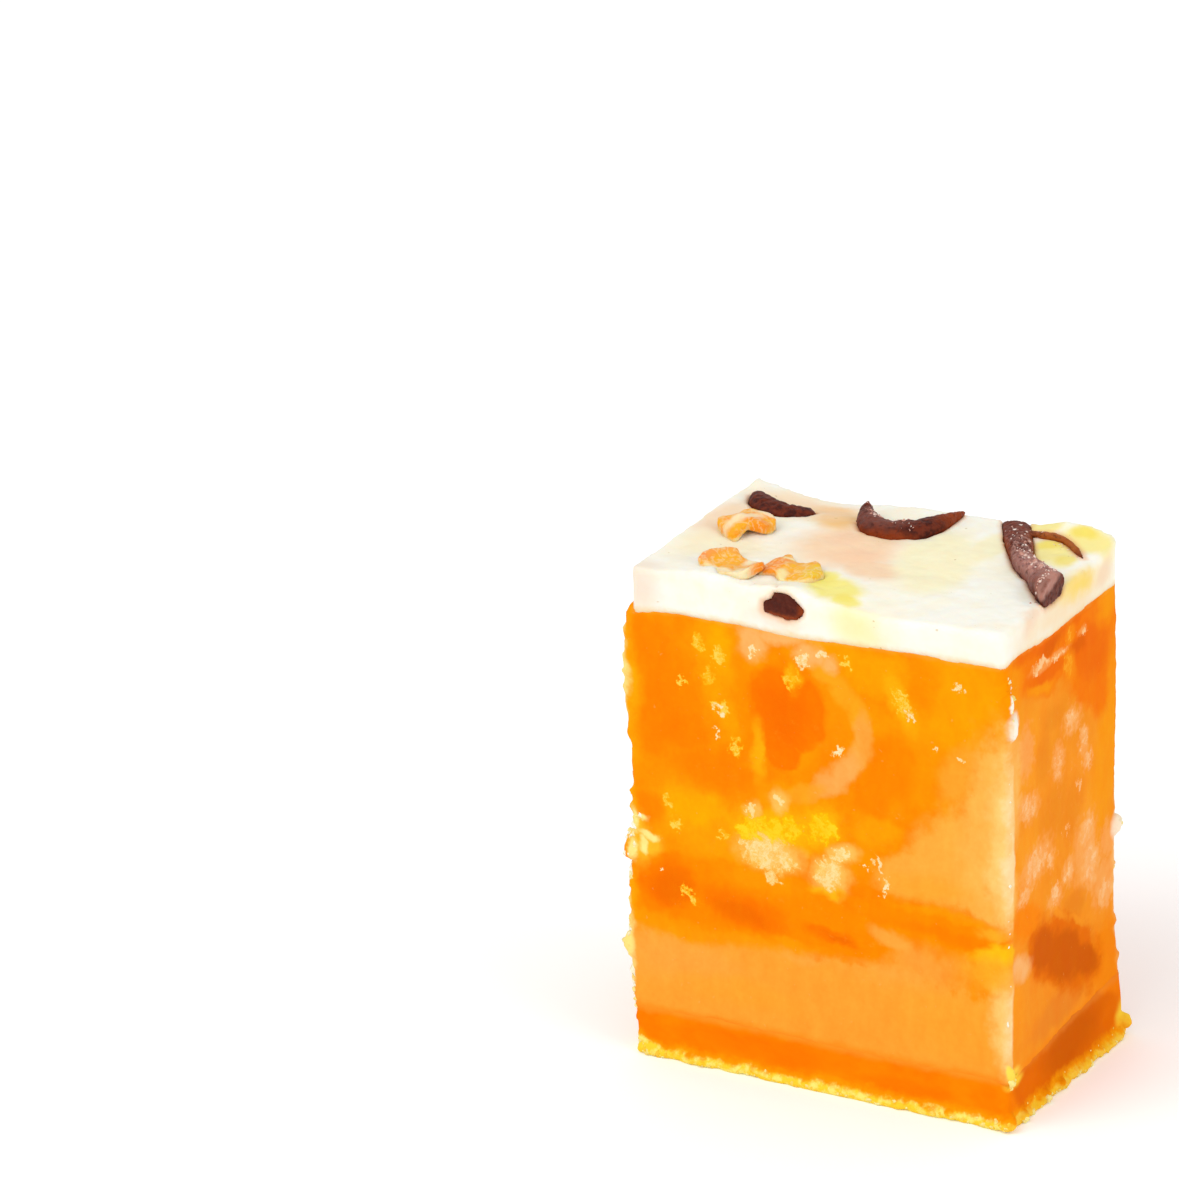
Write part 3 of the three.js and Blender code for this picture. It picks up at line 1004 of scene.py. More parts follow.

# The right face: its own marbling, with all its tones painted darker than the front's as painted shade, since
# this face gets less light.
RIGHT = Marbling(
    tint(246, 145, 28),
    tint(251, 151, 34),
    (
        # the dark zone at the top
        Patch(
            tint(249, 124, 2),
            side(
                (3.2, 46.4, 12, 5.0, -22), (-5.0, 46.4, 8, 3.0, -14), (5.8, 41.8, 5.0, 3.8, -26),
                (9.4, 40.4, 3.6, 4.6, -20), (-3.4, 44.4, 4.6, 1.9, -14),
            ),
            1.0, 0.2,
        ),
        Patch(
            tint(252, 152, 8),
            side(
                (-12, 46, 2.2, 3.4), (11.8, 36.4, 1.6, 7.4), (10.4, 33.8, 2.0, 2.6),
                (-5, 43.8, 3.4, 0.6, -18), (10.6, 46.4, 2.2, 1.8),
            ),
            0.9, 0.5,
        ),
        # deeper orange of the zone; its thin strip just under the pale scratch at z 46 is painted shadow
        # beneath the scratch
        Patch(
            tint(243, 109, 0),
            side((-3, 48.3, 9, 1.0, -2), (6.0, 43.2, 4.2, 2.6, -24), (-3.4, 44.8, 4.6, 0.8, -10)), 0.9, 0.4,
        ),
        Patch(tint(226, 96, 0), side((-3, 47.3, 2.4, 0.7), (3.6, 44.8, 1.8, 0.9, -16)), 0.8, 0.6),
        Patch(tint(251, 146, 14), side((1.5, 43.4, 1.0, 2.0, 12), (1.8, 46.8, 1.2, 1.0)), 0.75, 0.6),
        Patch(
            tint(251, 164, 84),
            side((-4.8, 46.1, 2.6, 0.5, -3), (-0.8, 45.7, 2.2, 0.38, -3), (4.7, 46.0, 0.9, 0.4, -10)), 0.8,
            0.55,
        ),
        # the middle
        Patch(
            tint(253, 157, 34),
            side(
                (-8.0, 40.0, 3.4, 3.0), (-9.0, 36.6, 2.8, 3.4), (-8.4, 27.6, 3.2, 3.0), (6.2, 26.0, 3.0, 3.6),
            ),
            0.8, 0.6,
        ),
        Patch(
            tint(241, 138, 26),
            side(
                (-1.8, 29.8, 3.8, 2.4), (-1.6, 39.6, 2.8, 1.2, -10), (2.4, 28.6, 2.4, 3.0),
                (-4.4, 36.0, 1.6, 2.6),
            ),
            0.7, 0.6,
        ),
        Patch(tint(252, 155, 14), side((9.8, 29.6, 2.8, 4.6), (8.2, 24.0, 1.4, 2.8)), 0.85, 0.5),
        Patch(
            tint(253, 167, 84),
            side(
                (2.0, 37.6, 2.0, 1.4, -12), (-1.2, 34.6, 1.5, 1.9, 10), (-8.2, 32.6, 2.8, 1.5, -18),
                (-8.6, 38.4, 1.8, 2.6), (-6.4, 26.0, 3.6, 2.0, 12), (-9.2, 23.5, 1.8, 1.0, 8),
                (-3.0, 25.0, 1.1, 1.0), (5.4, 22.4, 2.8, 3.8), (1.5, 21.9, 1.7, 1.4), (-1.8, 20.4, 1.7, 1.3),
                (9.6, 17.4, 2.8, 2.6), (10.4, 21.6, 1.6, 1.8), (4.8, 34.4, 1.0, 1.6), (5.6, 32.0, 1.2, 1.0),
            ),
            0.85, 0.42, frayed=True,
        ),
        Patch(
            tint(254, 186, 112),
            side(
                (6.6, 20.6, 1.7, 2.2), (-9.2, 23.6, 1.2, 0.6), (2.2, 37.6, 1.0, 0.8), (5.6, 24.6, 1.4, 1.4),
                (9.9, 16.2, 1.5, 1.2), (1.4, 21.8, 1.0, 0.7), (-6.6, 26.2, 1.8, 0.8, 14),
            ),
            0.75, 0.45, frayed=True,
        ),
        Patch(tint(238, 136, 28), side((3.3, 18.0, 2.3, 1.2, -24)), 0.8, 0.5),
        # the low band
        Patch(tint(249, 148, 34), side((-7.6, 11.6, 4.6, 5.0)), 0.9, 0.4),
        Patch(tint(240, 136, 36), side((-0.6, 8.3, 6.6, 1.7, 3)), 0.9, 0.4),
        Patch(tint(250, 136, 4), side((9.6, 9.4, 3.8, 3.4, -20)), 0.9, 0.4),
        # the burnt diagonal
        Patch(tint(253, 136, 6), side((-8.4, 20.6, 3.8, 2.0, -18)), 0.95, 0.35),
        Patch(tint(235, 113, 0), side((0.4, 13.6, 9.2, 3.9, -31), (-5.2, 17.2, 2.9, 1.9, -20)), 1.0, 0.2),
        Patch(
            tint(211, 94, 0),
            side((-4.0, 16.2, 3.2, 2.2, -34), (0.4, 13.2, 4.6, 2.8, -30), (4.8, 11.0, 3.4, 1.8, -25)), 0.95,
            0.32,
        ),
        Patch(tint(252, 158, 36), side((-0.6, 18.6, 2.4, 0.4, -38), (3.8, 15.9, 1.8, 0.35, -30)), 0.7, 0.6),
        Patch(tint(252, 186, 116), side((-9.6, 16.1, 2.2, 1.2, -10)), 0.9, 0.5),
        Patch(tint(253, 156, 30), side((-10.4, 12.2, 1.6, 3.2)), 0.7, 0.5),
        # pale strip along the back edge, low down: painted glow of the white backdrop at the edge
        Patch(tint(253, 196, 120), side((12.6, 18, 0.9, 9)), 0.8, 0.5),
        # pale strip near the front edge: painted glow of light coming through the edge, as on the front face
        Patch(tint(254, 190, 96), side((-11.9, 36.6, 1.7, 5.4), (-12.0, 24.6, 1.2, 2.4)), 0.8, 0.6),
        Patch(tint(254, 186, 24), side((-12.4, 18.4, 1.3, 0.7)), 0.8, 0.5),
    ),
    (
        Flecks(
            side((1.5, 43.5, 0.9, 1.8, 12), (1.8, 46.8, 1.0, 0.8)), tint(251, 148, 14), tint(252, 164, 30),
            tint(254, 184, 62), 0.9, (1, 1, 0.7), 0.45, 0.85,
        ),
        Flecks(
            side((-5.0, 46.1, 2.2, 0.5, -3), (-1.0, 45.7, 2.2, 0.35, -3), (4.6, 46.0, 0.8, 0.4, -10)),
            tint(250, 168, 86), tint(253, 190, 122), tint(254, 210, 156), 0.9, (1, 0.6, 0.9), 0.36, 0.9,
        ),
        Flecks(  # pink streaks
            side(
                (2.0, 37.7, 1.7, 1.2, -12), (4.8, 34.8, 1.0, 1.8, 24), (5.6, 32.0, 1.4, 1.0, -30),
                (-1.2, 34.5, 1.2, 1.7), (-8.2, 32.5, 2.6, 1.4, -20), (3.4, 30.4, 0.8, 0.7),
                (0.6, 26.6, 0.8, 0.7),
                (-6.4, 26.0, 3.2, 1.8, 12), (-9.2, 23.5, 1.7, 1.0), (-3.0, 25.0, 1.0, 1.0),
                (6.4, 20.8, 1.8, 2.2), (1.5, 21.8, 1.5, 1.1), (-1.8, 20.8, 1.5, 1.3), (5.6, 24.6, 1.6, 1.6),
                (9.8, 16.4, 1.8, 1.6),
            ),
            tint(251, 166, 84), tint(253, 182, 110), tint(255, 202, 144), 1.0, (1, 1.3, 0.5), 0.43, 0.9, -32,
        ),
        Flecks(
            side((1, 27, 9, 14)), tint(250, 158, 66), tint(252, 174, 92), tint(254, 196, 130), 1.0,
            (1, 1.2, 0.6), 0.64, 0.6, -32,
        ),
    ),
)

OTHERS = Marbling(
    tint(250, 132, 2),
    tint(252, 150, 8),
    (
        Patch(tint(253, 160, 52), (Blob((-8, 8, 9.5), (40, 30, 5.0)),), 1.0, 0.25),
        Patch(
            tint(248, 124, 1),
            (Blob((0, 12.8, 18), (42, 6, 4.2), (0, -3, 0)), Blob((-20.8, 0, 18), (6, 20, 4.0), (4, 0, 0))),
            1.0, 0.25,
        ),
        Patch(
            tint(253, 166, 62),
            (
                Blob((-8, 12.8, 39), (6, 5, 4.6)), Blob((10, 12.8, 25.6), (8, 5, 3.2), (0, 14, 0)),
                Blob((-20.8, -2, 42), (4, 3.4, 4)), Blob((-20.8, 6, 27), (4, 4.4, 3)),
            ),
            0.95, 0.35,
        ),
        Patch(
            tint(247, 119, 0),
            (
                Blob((5, 12.8, 35), (8, 5, 5), (0, 20, 0)), Blob((-12, 12.8, 26.5), (4, 4, 2.6)),
                Blob((-20.8, 4, 36), (4, 5, 5), (20, 0, 0)),
            ),
            0.95, 0.3,
        ),
        Patch(
            tint(254, 160, 8),
            (
                Blob((13, 12.8, 44), (6, 5, 3.4)), Blob((-17, 12.8, 33), (3, 5, 5)),
                Blob((-20.8, -7, 28), (4, 3.6, 5)),
            ),
            0.9, 0.45,
        ),
        Patch(
            tint(238, 110, 0),
            (Blob((-3, 12.8, 18), (6, 4, 1.6), (0, -6, 0)), Blob((-20.8, 2, 18), (4, 5, 1.6), (6, 0, 0))),
            0.8, 0.5,
        ),
    ),
    (
        Flecks(
            (
                Blob((-6, 12.5, 43), (6, 4, 3)), Blob((5, 12.5, 29), (5, 4, 3), (0, -20, 0)),
                Blob((-20.8, 0, 39), (3, 4, 4)),
            ),
            tint(254, 168, 14), tint(255, 190, 30), tint(255, 212, 90), 0.9, (1, 1, 0.7), 0.47,
        ),
        Flecks(
            (
                Blob((-20.8, -5, 32), (3, 1.6, 4)), Blob((-20.8, 5, 28), (3, 2.4, 2)),
                Blob((-4, 12.5, 37.5), (4, 3, 2.4)), Blob((1, 12.5, 25), (4, 3, 2)),
            ),
            tint(252, 176, 84), tint(252, 196, 116), tint(254, 220, 154), 0.95, (1, 1, 0.7), 0.45,
        ),
    ),
)


@dataclass(frozen=True)
class BodyFinish:
    """Orange fudge: smooth marbling with grainy yellow flecks in it.

    Attributes:
        skin: How it takes the light.
        front: The front face's colours.
        right: The right face's colours, its own marbling with its tones painted darker than the front's as
            shade.
        others: The colours of the rest.
        front_from: The y at which the front face's colours begin and are full, in millimetres.
        right_from: The x for the right face's, the same way.
        lumps: The torn lumps at its edges.
        base_tone: Its colour where it meets the base.
        icing_glow: Its colour where it meets the icing.
        speck: The colour of its small pale specks, which are partly painted glints of sugar crystals.
        streaks: How much its colour swings in streaks.
        mottle: How much it swings from spot to spot.
    """

    skin: Skin = Skin(roughness=0.6, gloss=0.012, soft=0.0)
    front: Marbling = FRONT
    right: Marbling = RIGHT
    others: Marbling = OTHERS
    front_from: tuple[float, float] = (-11.2, -11.7)
    right_from: tuple[float, float] = (18.6, 19.2)
    lumps: tuple[Patch, ...] = (
        Patch(
            tint(255, 248, 230),
            (Blob((20.9, -11.5, 42.4), (1.3, 1.5, 1.6)), Blob((20.9, -12.7, 44.8), (0.5, 0.5, 1.4))), 1.0,
            0.3,
        ),
        Patch(
            tint(255, 226, 84),
            (Blob((20.9, -10.9, 5.4), (1.2, 1.8, 1.0)), Blob((20.7, -12.6, 6.6), (0.6, 0.7, 1.2))), 0.95,
            0.35,
        ),
        Patch(tint(255, 242, 216), (Blob((20.9, 12.5, 22.5), (1.5, 1.4, 1.7)),), 0.9, 0.3),
        Patch(
            tint(255, 228, 130),
            (Blob((-21.2, -12.4, 12), (0.9, 1.0, 1.3)), Blob((-21.2, -12.6, 16.4), (0.6, 0.6, 0.9))), 0.9,
            0.4,
        ),
    )
    base_tone: Colour = tint(252, 134, 1)
    icing_glow: Colour = tint(253, 180, 74)
    speck: Colour = tint(255, 205, 120)
    streaks: float = 0.16
    mottle: float = 0.09

    def make(self) -> bpy.types.Material:
        """Builds the material.

        Returns:
            The material.
        """
        g = Graph("orange fudge", self.skin)
        place = g.warped(g.warped(g.place, 0.12, 2.6), 0.55, 1.5, 3.0)
        near = g.warped(g.place, 1.3, 3.2, 4.0)
        ragged = g.math("SUBTRACT", g.noise(g.stretched(g.place, (1, 0.55, 0.8)), 0.95, 4.0, 0.62), 0.5)
        colour = g.marbled(place, near, ragged, self.others)
        right = g.marbled(place, near, ragged, self.right)
        colour = g.mix(g.ramp(g.axis(g.place, "X"), *self.right_from), colour, right)
        front = g.marbled(place, near, ragged, self.front)
        y = g.math("ADD", g.axis(g.place, "Y"), g.swing(g.noise(g.place, 0.5), 0.8))
        colour = g.mix(g.ramp(y, *self.front_from), colour, front)
        streaks = g.noise(g.stretched(g.place, (1, 1, 0.45)), 0.55, 3.0, 0.6)
        colour = g.varied(colour, streaks, self.streaks)
        colour = g.varied(colour, g.noise(g.place, 1.7, 3.0, 0.6), self.mottle)
        for patch in self.lumps:
            colour = g.stain(colour, g.warped(g.place, 0.9, 0.7), patch)
        uneven = g.swing(g.noise(g.place, 0.7, 3.0), 0.9)
        base = g.ramp(g.math("ADD", g.attribute("seam_base"), uneven), 1.0, 0.1)
        colour = g.lay(colour, self.base_tone, base, 0.5)
        top = g.ramp(g.math("ADD", g.attribute("seam_icing"), uneven), 0.7, 0.0)
        colour = g.lay(colour, self.icing_glow, top, 0.35)
        fine = g.noise(g.place, 3.2, 4.0, 0.65)
        # small pale specks, partly painted glints of sugar crystals
        speck = g.ramp(g.noise(g.place, 2.1, 1.0, 0.5), 0.74, 0.8)
        colour = g.lay(colour, self.speck, speck, 0.15)
        g.bump(g.math("ADD", g.math("MULTIPLY", fine, 0.6), speck), 0.05, 0.5)
        return g.finish(colour)


@dataclass(frozen=True)
class BaseFinish:
    """The darker bottom layer, with its ragged yellow foot.

    Attributes:
        skin: How it takes the light.
        low: One of its two ground colours.
        high: The other.
        stains: The stains over them, with painted shade over the right face among them.
        amber: The colour over the foot: painted glow of light spreading up from the pale foot.
        foot: The foot's paler colour.
        foot_deep: Its deeper one.
        foot_side: Its colour on the right, painted darker as shade.
        above: The colour that comes down from the body in front.
        above_side: The same on the right and behind, painted darker as shade.
        corner: Where the foot is rougher and higher.
    """

    skin: Skin = Skin(roughness=0.6, gloss=0.012, soft=0.0)
    low: Colour = tint(248, 126, 0)
    high: Colour = tint(253, 136, 2)
    stains: tuple[Patch, ...] = (
        Patch(tint(245, 120, 0), front((-6, 3.4, 9, 1.2), (9, 2.6, 5, 0.9)), 0.7, 0.5),
        # painted shade: the whole right face of the base darker than its front
        Patch(tint(226, 104, 0), side((0, 3.6, 11.2, 4)), 0.9, 0.08),
        Patch(tint(209, 94, 0), side((1.4, 4.0, 5.6, 2.2, 4)), 0.85, 0.5),
        Patch(tint(236, 112, 0), side((-8, 2.8, 2.4, 1.8), (10, 2.6, 2.2, 2.4)), 0.7, 0.5),
        Patch(
            tint(255, 212, 60),
            (Blob((21.2, 12.3, 1.8), (1.6, 1.5, 2.2)), Blob((20.9, -11.0, 4.7), (1.2, 1.9, 0.9))), 0.9, 0.4,
        ),
    )
    amber: Colour = tint(254, 162, 6)
    foot: Colour = tint(255, 238, 120)
    foot_deep: Colour = tint(255, 214, 52)
    foot_side: Colour = tint(254, 192, 40)
    above: Colour = tint(253, 160, 52)
    above_side: Colour = tint(241, 140, 48)
    corner: Blob = Blob((-21.4, -12.4, 0), (2.6, 3.0, 6))

    def make(self) -> bpy.types.Material:
        """Builds the material.

        Returns:
            The material.
        """
        g = Graph("base fudge", self.skin)
        place = g.warped(g.place, 0.3, 1.6)
        colour = g.mix(g.ramp(g.noise(place, 0.3, 3.0), 0.35, 0.65), self.low, self.high)
        for patch in self.stains:
            colour = g.stain(colour, place, patch)
        colour = g.varied(colour, g.noise(g.stretched(g.place, (0.5, 0.5, 1)), 0.9, 3.0, 0.6), 0.12)
        uneven = g.swing(g.noise(g.place, 0.7, 3.0), 0.9)
        near = g.ramp(g.math("ADD", g.attribute("seam_body"), uneven), 1.0, 0.1)
        # the colour that comes down from the body: painted darker on the right and behind as shade
        above = g.mix(g.ramp(g.axis(g.place, "Y"), -11.6, -11.2), self.above, self.above_side)
        colour = g.lay(colour, above, near, 0.5)
        raised = g.math("MULTIPLY", g.ramp(g.distance(g.place, (self.corner,)), 1.5, 0.5), 0.9)
        ragged = g.math("SUBTRACT", g.swing(g.noise(g.place, 0.7, 4.0, 0.65), 2.2), raised)
        height = g.math("ADD", g.axis(g.place, "Z"), ragged)
        # amber over the foot: painted glow of light spreading up from the pale foot
        colour = g.lay(colour, self.amber, g.ramp(height, 2.2, 0.9), 0.85)
        rim = g.ramp(height, 1.25, 0.6)
        yellow = g.mix(g.ramp(g.noise(g.place, 1.1, 3.0), 0.42, 0.62), self.foot_deep, self.foot)
        # the foot darker on the right face: painted shade
        yellow = g.lay(yellow, self.foot_side, g.ramp(g.axis(g.place, "X"), 19.4, 20.4), 0.75)
        colour = g.mix(rim, colour, yellow)
        grain = g.noise(g.place, 2.6, 4.0, 0.7)
        g.bump(g.math("ADD", grain, g.math("MULTIPLY", rim, g.noise(g.place, 1.3, 3.0))), 0.05, 0.5)
        return g.finish(colour)


@dataclass(frozen=True)
class IcingFinish:
    """White icing with peach and yellow running through it.

    Attributes:
        skin: How it takes the light.
        ground: One of its two whites.
        cloudy: The other.
        stains: The stains over them, with painted shade and painted orange glow on the cut faces among them.
        seam: Its colour where it meets the body: painted glow of the orange fudge's light through the icing.
        halo: Its colour round the chocolate.
        speck: The colour of its few dark specks.
    """

    skin: Skin = Skin(roughness=0.45, gloss=0.2, soft=0.35, reach=(1.6, 1.1, 0.7))
    ground: Colour = tint(253, 251, 238)
    cloudy: Colour = tint(254, 248, 226)
    stains: tuple[Patch, ...] = (
        # on top
        Patch(
            tint(253, 216, 176),
            (
                Blob((-3, 0.4, 52.2), (5.6, 5.2, 3)), Blob((1.0, -3.4, 52.2), (3.8, 2.4, 3), (0, 0, -14)),
                Blob((-5, 6, 52.2), (2.6, 3, 3)),
            ),
            0.95, 0.45,
        ),
        Patch(
            tint(252, 206, 168),
            (Blob((-1, -1.2, 52.2), (2.6, 1.8, 3), (0, 0, 30)), Blob((-4.4, 2.0, 52.2), (1.8, 1.6, 3))), 0.6,
            0.6,
        ),
        Patch(
            tint(254, 245, 203),
            (Blob((6.3, 0.5, 52.2), (3.8, 7.6, 3), (0, 0, 14)), Blob((9.4, 6, 52.2), (2.0, 4, 3))), 0.95, 0.3,
        ),
        Patch(
            tint(251, 238, 128),
            (
                Blob((0.2, -9.6, 52), (3.2, 2.6, 4), (0, 0, -24)), Blob((2.6, -11.6, 52), (1.8, 1.2, 1.4)),
                Blob((-2.0, -7.2, 52), (1.8, 1.4, 3)),
            ),
            0.95, 0.35,
        ),
        Patch(
            tint(249, 228, 92),
            (Blob((-1.8, -8.2, 52), (1.4, 1.5, 3)), Blob((2.2, -11.2, 52.0), (1.1, 0.8, 0.9))), 0.6, 0.6,
        ),
        Patch(
            tint(252, 236, 142),
            (
                Blob((15.4, 7.4, 53), (2.4, 3.4, 4)), Blob((17.4, 10.6, 53), (3.0, 2.2, 4)),
                Blob((12.2, 12.0, 53), (2.0, 1.6, 4)),
            ),
            0.9, 0.4,
        ),
        Patch(
            tint(247, 226, 92),
            (
                Blob((14.6, 9.2, 53), (1.5, 1.1, 3)), Blob((17.8, 5.8, 53), (1.0, 1.6, 3)),
                Blob((16.8, 11.8, 53), (1.4, 0.8, 3)),
            ),
            0.8, 0.5,
        ),
        Patch(
            tint(251, 196, 112),
            (Blob((-7.4, 7.2, 52), (2.2, 3.4, 3), (0, 0, 20)), Blob((-9.6, 10, 52), (2.6, 1.6, 3))), 0.85,
            0.45,
        ),
        Patch(
            tint(252, 214, 170), (Blob((-12, 9, 52), (6, 3.4, 3)), Blob((-17, 2, 52), (2.4, 5, 3))), 0.7, 0.5,
        ),
        Patch(tint(253, 240, 200), (Blob((-14.6, -4.6, 52), (4.4, 3, 3)),), 0.8, 0.5),
        # the cut faces
        # painted shade at the front-left of the icing, near the seam
        Patch(tint(242, 224, 204), (Blob((-19.6, -12.9, 50.4), (3.0, 2, 3)),), 0.8, 0.6),
        Patch(tint(252, 239, 146), (Blob((4.2, -13.2, 50.2), (2.6, 1.2, 2.0), (0, 20, 0)),), 0.6, 0.7),
        # painted warm glow near the seam, from the orange fudge under the icing
        Patch(tint(252, 228, 206), (Blob((-4.2, -13.2, 49.6), (3.0, 1.4, 0.9)),), 0.7, 0.6),
        # the right face of the icing: painted shade, with painted orange glow from the fudge under it
        Patch(tint(251, 224, 182), (Blob((21.4, 1, 49.8), (2.4, 12.6, 2.4), (-3, 0, 0)),), 0.9, 0.4),
        Patch(tint(252, 218, 112), (Blob((20.8, 3.2, 51.3), (1.6, 6.0, 1.6), (-6, 0, 0)),), 0.95, 0.45),
        Patch(tint(251, 216, 84), (Blob((20.8, 4.4, 51.1), (1.6, 2.0, 0.5), (-8, 0, 0)),), 0.6, 0.6),
        # pinkish patches on the right face: painted shade
        Patch(
            tint(248, 214, 182),
            (Blob((20.8, -6.4, 51.6), (1.6, 2.4, 1.1), (10, 0, 0)), Blob((20.8, 9.8, 50.6), (1.6, 2.2, 1.4))),
            0.75, 0.5,
        ),
    )
    seam: Colour = tint(253, 206, 130)
    halo: Colour = tint(250, 176, 116)
    speck: Colour = tint(196, 160, 80)

    def make(self) -> bpy.types.Material:
        """Builds the material.

        Returns:
            The material.
        """
        g = Graph("white icing", self.skin)
        place = g.warped(g.warped(g.place, 0.16, 2.0), 0.7, 0.9, 3.0)
        colour = g.mix(g.ramp(g.noise(place, 0.22, 3.0), 0.4, 0.65), self.ground, self.cloudy)
        for patch in self.stains:
            colour = g.stain(colour, place, patch)
        colour = g.varied(colour, g.noise(g.place, 0.5, 4.0, 0.6), 0.05)
        uneven = g.swing(g.noise(g.place, 0.9, 3.0), 0.8)
        # painted orange glow near the body, from light coming through the fudge under the icing
        near = g.ramp(g.math("ADD", g.attribute("seam_body"), uneven), 0.8, 0.0)
        colour = g.lay(colour, self.seam, near, 0.7)
        far = g.math("ADD", g.attribute("seam_chocolate"), g.math("MULTIPLY", uneven, 0.6))
        colour = g.lay(colour, self.halo, g.ramp(far, 0.85, 0.1), 0.55)
        colour = g.lay(colour, self.speck, g.ramp(g.noise(g.place, 1.5, 1.0, 0.5), 0.76, 0.79), 0.45)
        g.bump(g.noise(g.place, 1.6, 4.0, 0.6), 0.05, 0.4)
        return g.finish(colour)


@dataclass(frozen=True)
class ChocolateFinish:
    """Dark chocolate, redder where it is thin as painted glow of light through it, with a pale dust of sugar
    where it was scraped that also serves as painted glints.

    Attributes:
        skin: How it takes the light.
        deep: One of its two ground colours.
        ground: The other.
        stains: The stains over them, with painted orange glow and a painted sheen among them.
        bloom_and_glints: The colour of the sugar dust, which also serves as painted glints.
        dark: The colour of the dents that the scraping left.
        bloom_and_glint_spots: Where the sugar dust and its painted glints are.
        cut: Where the knife went through.
        cut_deep: One of the cut's two colours.
        cut_ground: The other.
        crust: The sugary strip on the cut curl's rim.
        along: How the scrape marks are turned, in degrees.
    """

    skin: Skin = Skin(roughness=0.5, gloss=0.14, soft=0.1, reach=(0.6, 0.2, 0.1))
    deep: Colour = tint(66, 18, 8)
    ground: Colour = tint(112, 42, 18)
    stains: tuple[Patch, ...] = (
        # orange-brown at the crescent's right tip and lower edge: painted glow of light through the thin
        # chocolate
        Patch(
            tint(150, 60, 10),
            (Blob((3.0, 11.6, 52.2), (1.6, 2.8, 2)), Blob((-1.0, 4.4, 51.4), (4.4, 1.2, 1.2))), 0.85, 0.5,
        ),
        Patch(tint(178, 94, 32), (Blob((15.9, 10.2, 52.4), (4.2, 2.8, 1.2)),), 0.85, 0.4),
        Patch(tint(82, 26, 10), (Blob((-3.1, -12.6, 51.2), (3.4, 2.4, 1.6)),), 0.75, 0.4),
        Patch(
            tint(146, 58, 8),
            (Blob((-3.2, -13.4, 49.7), (3.0, 2, 0.55)), Blob((-1.0, -13.2, 50.6), (0.7, 2, 0.8))), 0.9, 0.5,
        ),
        # painted sheen on the crescent
        Patch(tint(132, 78, 66), (Blob((-2.6, 6.4, 53.1), (2.8, 1.7, 0.8)),), 0.65, 0.6),
        Patch(tint(126, 60, 44), (Blob((9.8, 11.2, 53), (2.6, 4.4, 1.8)),), 0.6, 0.5),
        Patch(tint(172, 118, 108), (Blob((15.8, 1.4, 53.8), (4.2, 4.4, 1.7), (0, 0, -40)),), 0.8, 0.6),
        Patch(
            tint(146, 60, 14),
            (
                Blob((14.6, 6.6, 52.4), (1.0, 2.6, 1.2), (0, 0, 30)),
                Blob((11, 6.6, 51.8), (0.8, 3.2, 0.9), (0, 0, 30)),
            ),
            0.7, 0.5,
        ),
    )
    bloom_and_glints: Colour = tint(214, 158, 142)
    dark: Colour = tint(62, 18, 10)
    bloom_and_glint_spots: tuple[Blob, ...] = (
        Blob((12.4, 7.4, 54.0), (3.6, 6.6, 1.5), (0, 0, 32)), Blob((16.4, 1.0, 54.4), (3.4, 2.4, 1.2)),
        Blob((-3.8, 8.4, 53.8), (1.8, 1.8, 0.9)),
    )
    cut: Blob = Blob((21.2, -2.4, 52.6), (1.7, 5, 3))
    cut_deep: Colour = tint(76, 24, 8)
    cut_ground: Colour = tint(108, 42, 16)
    crust: Patch = Patch(
        tint(220, 160, 142), (Blob((19.9, -2.7, 53.6), (1.3, 3.2, 0.6), (16, 0, 0)),), 0.6, 0.6,
    )
    along: Triple = (0, 0, 35)

    def make(self) -> bpy.types.Material:
        """Builds the material.

        Returns:
            The material.
        """
        g = Graph("dark chocolate", self.skin)
        grain = g.noise(g.place, 1.3, 4.0, 0.65)
        colour = g.mix(g.ramp(grain, 0.38, 0.62), self.deep, self.ground)
        place = g.warped(g.place, 0.9, 0.9, 3.0)
        for patch in self.stains:
            colour = g.stain(colour, place, patch)
        streaks = g.noise(g.stretched(g.place, (1.6, 0.6, 1.4), self.along), 1.6, 4.0, 0.65)
        colour = g.varied(colour, streaks, 0.3)
        scrape = g.noise(g.stretched(g.place, (1.5, 0.7, 1.4), self.along), 1.5, 5.0, 0.7)
        colour = g.lay(colour, self.dark, g.ramp(scrape, 0.45, 0.36), 0.6)
        # pale sugar dust where it was scraped, which also serves as painted glints on the crescent's inner
        # rim and the side curl
        inside = g.ramp(g.distance(place, self.bloom_and_glint_spots), 1.4, 0.5)
        dust_and_glints = g.math("MULTIPLY", inside, g.ramp(scrape, 0.46, 0.62))
        colour = g.lay(colour, self.bloom_and_glints, dust_and_glints, 0.8)
        cut = g.mix(g.ramp(grain, 0.4, 0.6), self.cut_deep, self.cut_ground)
        colour = g.lay(colour, cut, g.ramp(g.distance(g.place, (self.cut,)), 1.04, 0.96))
        colour = g.stain(colour, place, self.crust, g.math("SUBTRACT", grain, 0.5))
        g.bump(g.math("ADD", grain, g.noise(g.place, 4.0, 3.0, 0.6)), 0.08, 0.7)
        return g.finish(colour)


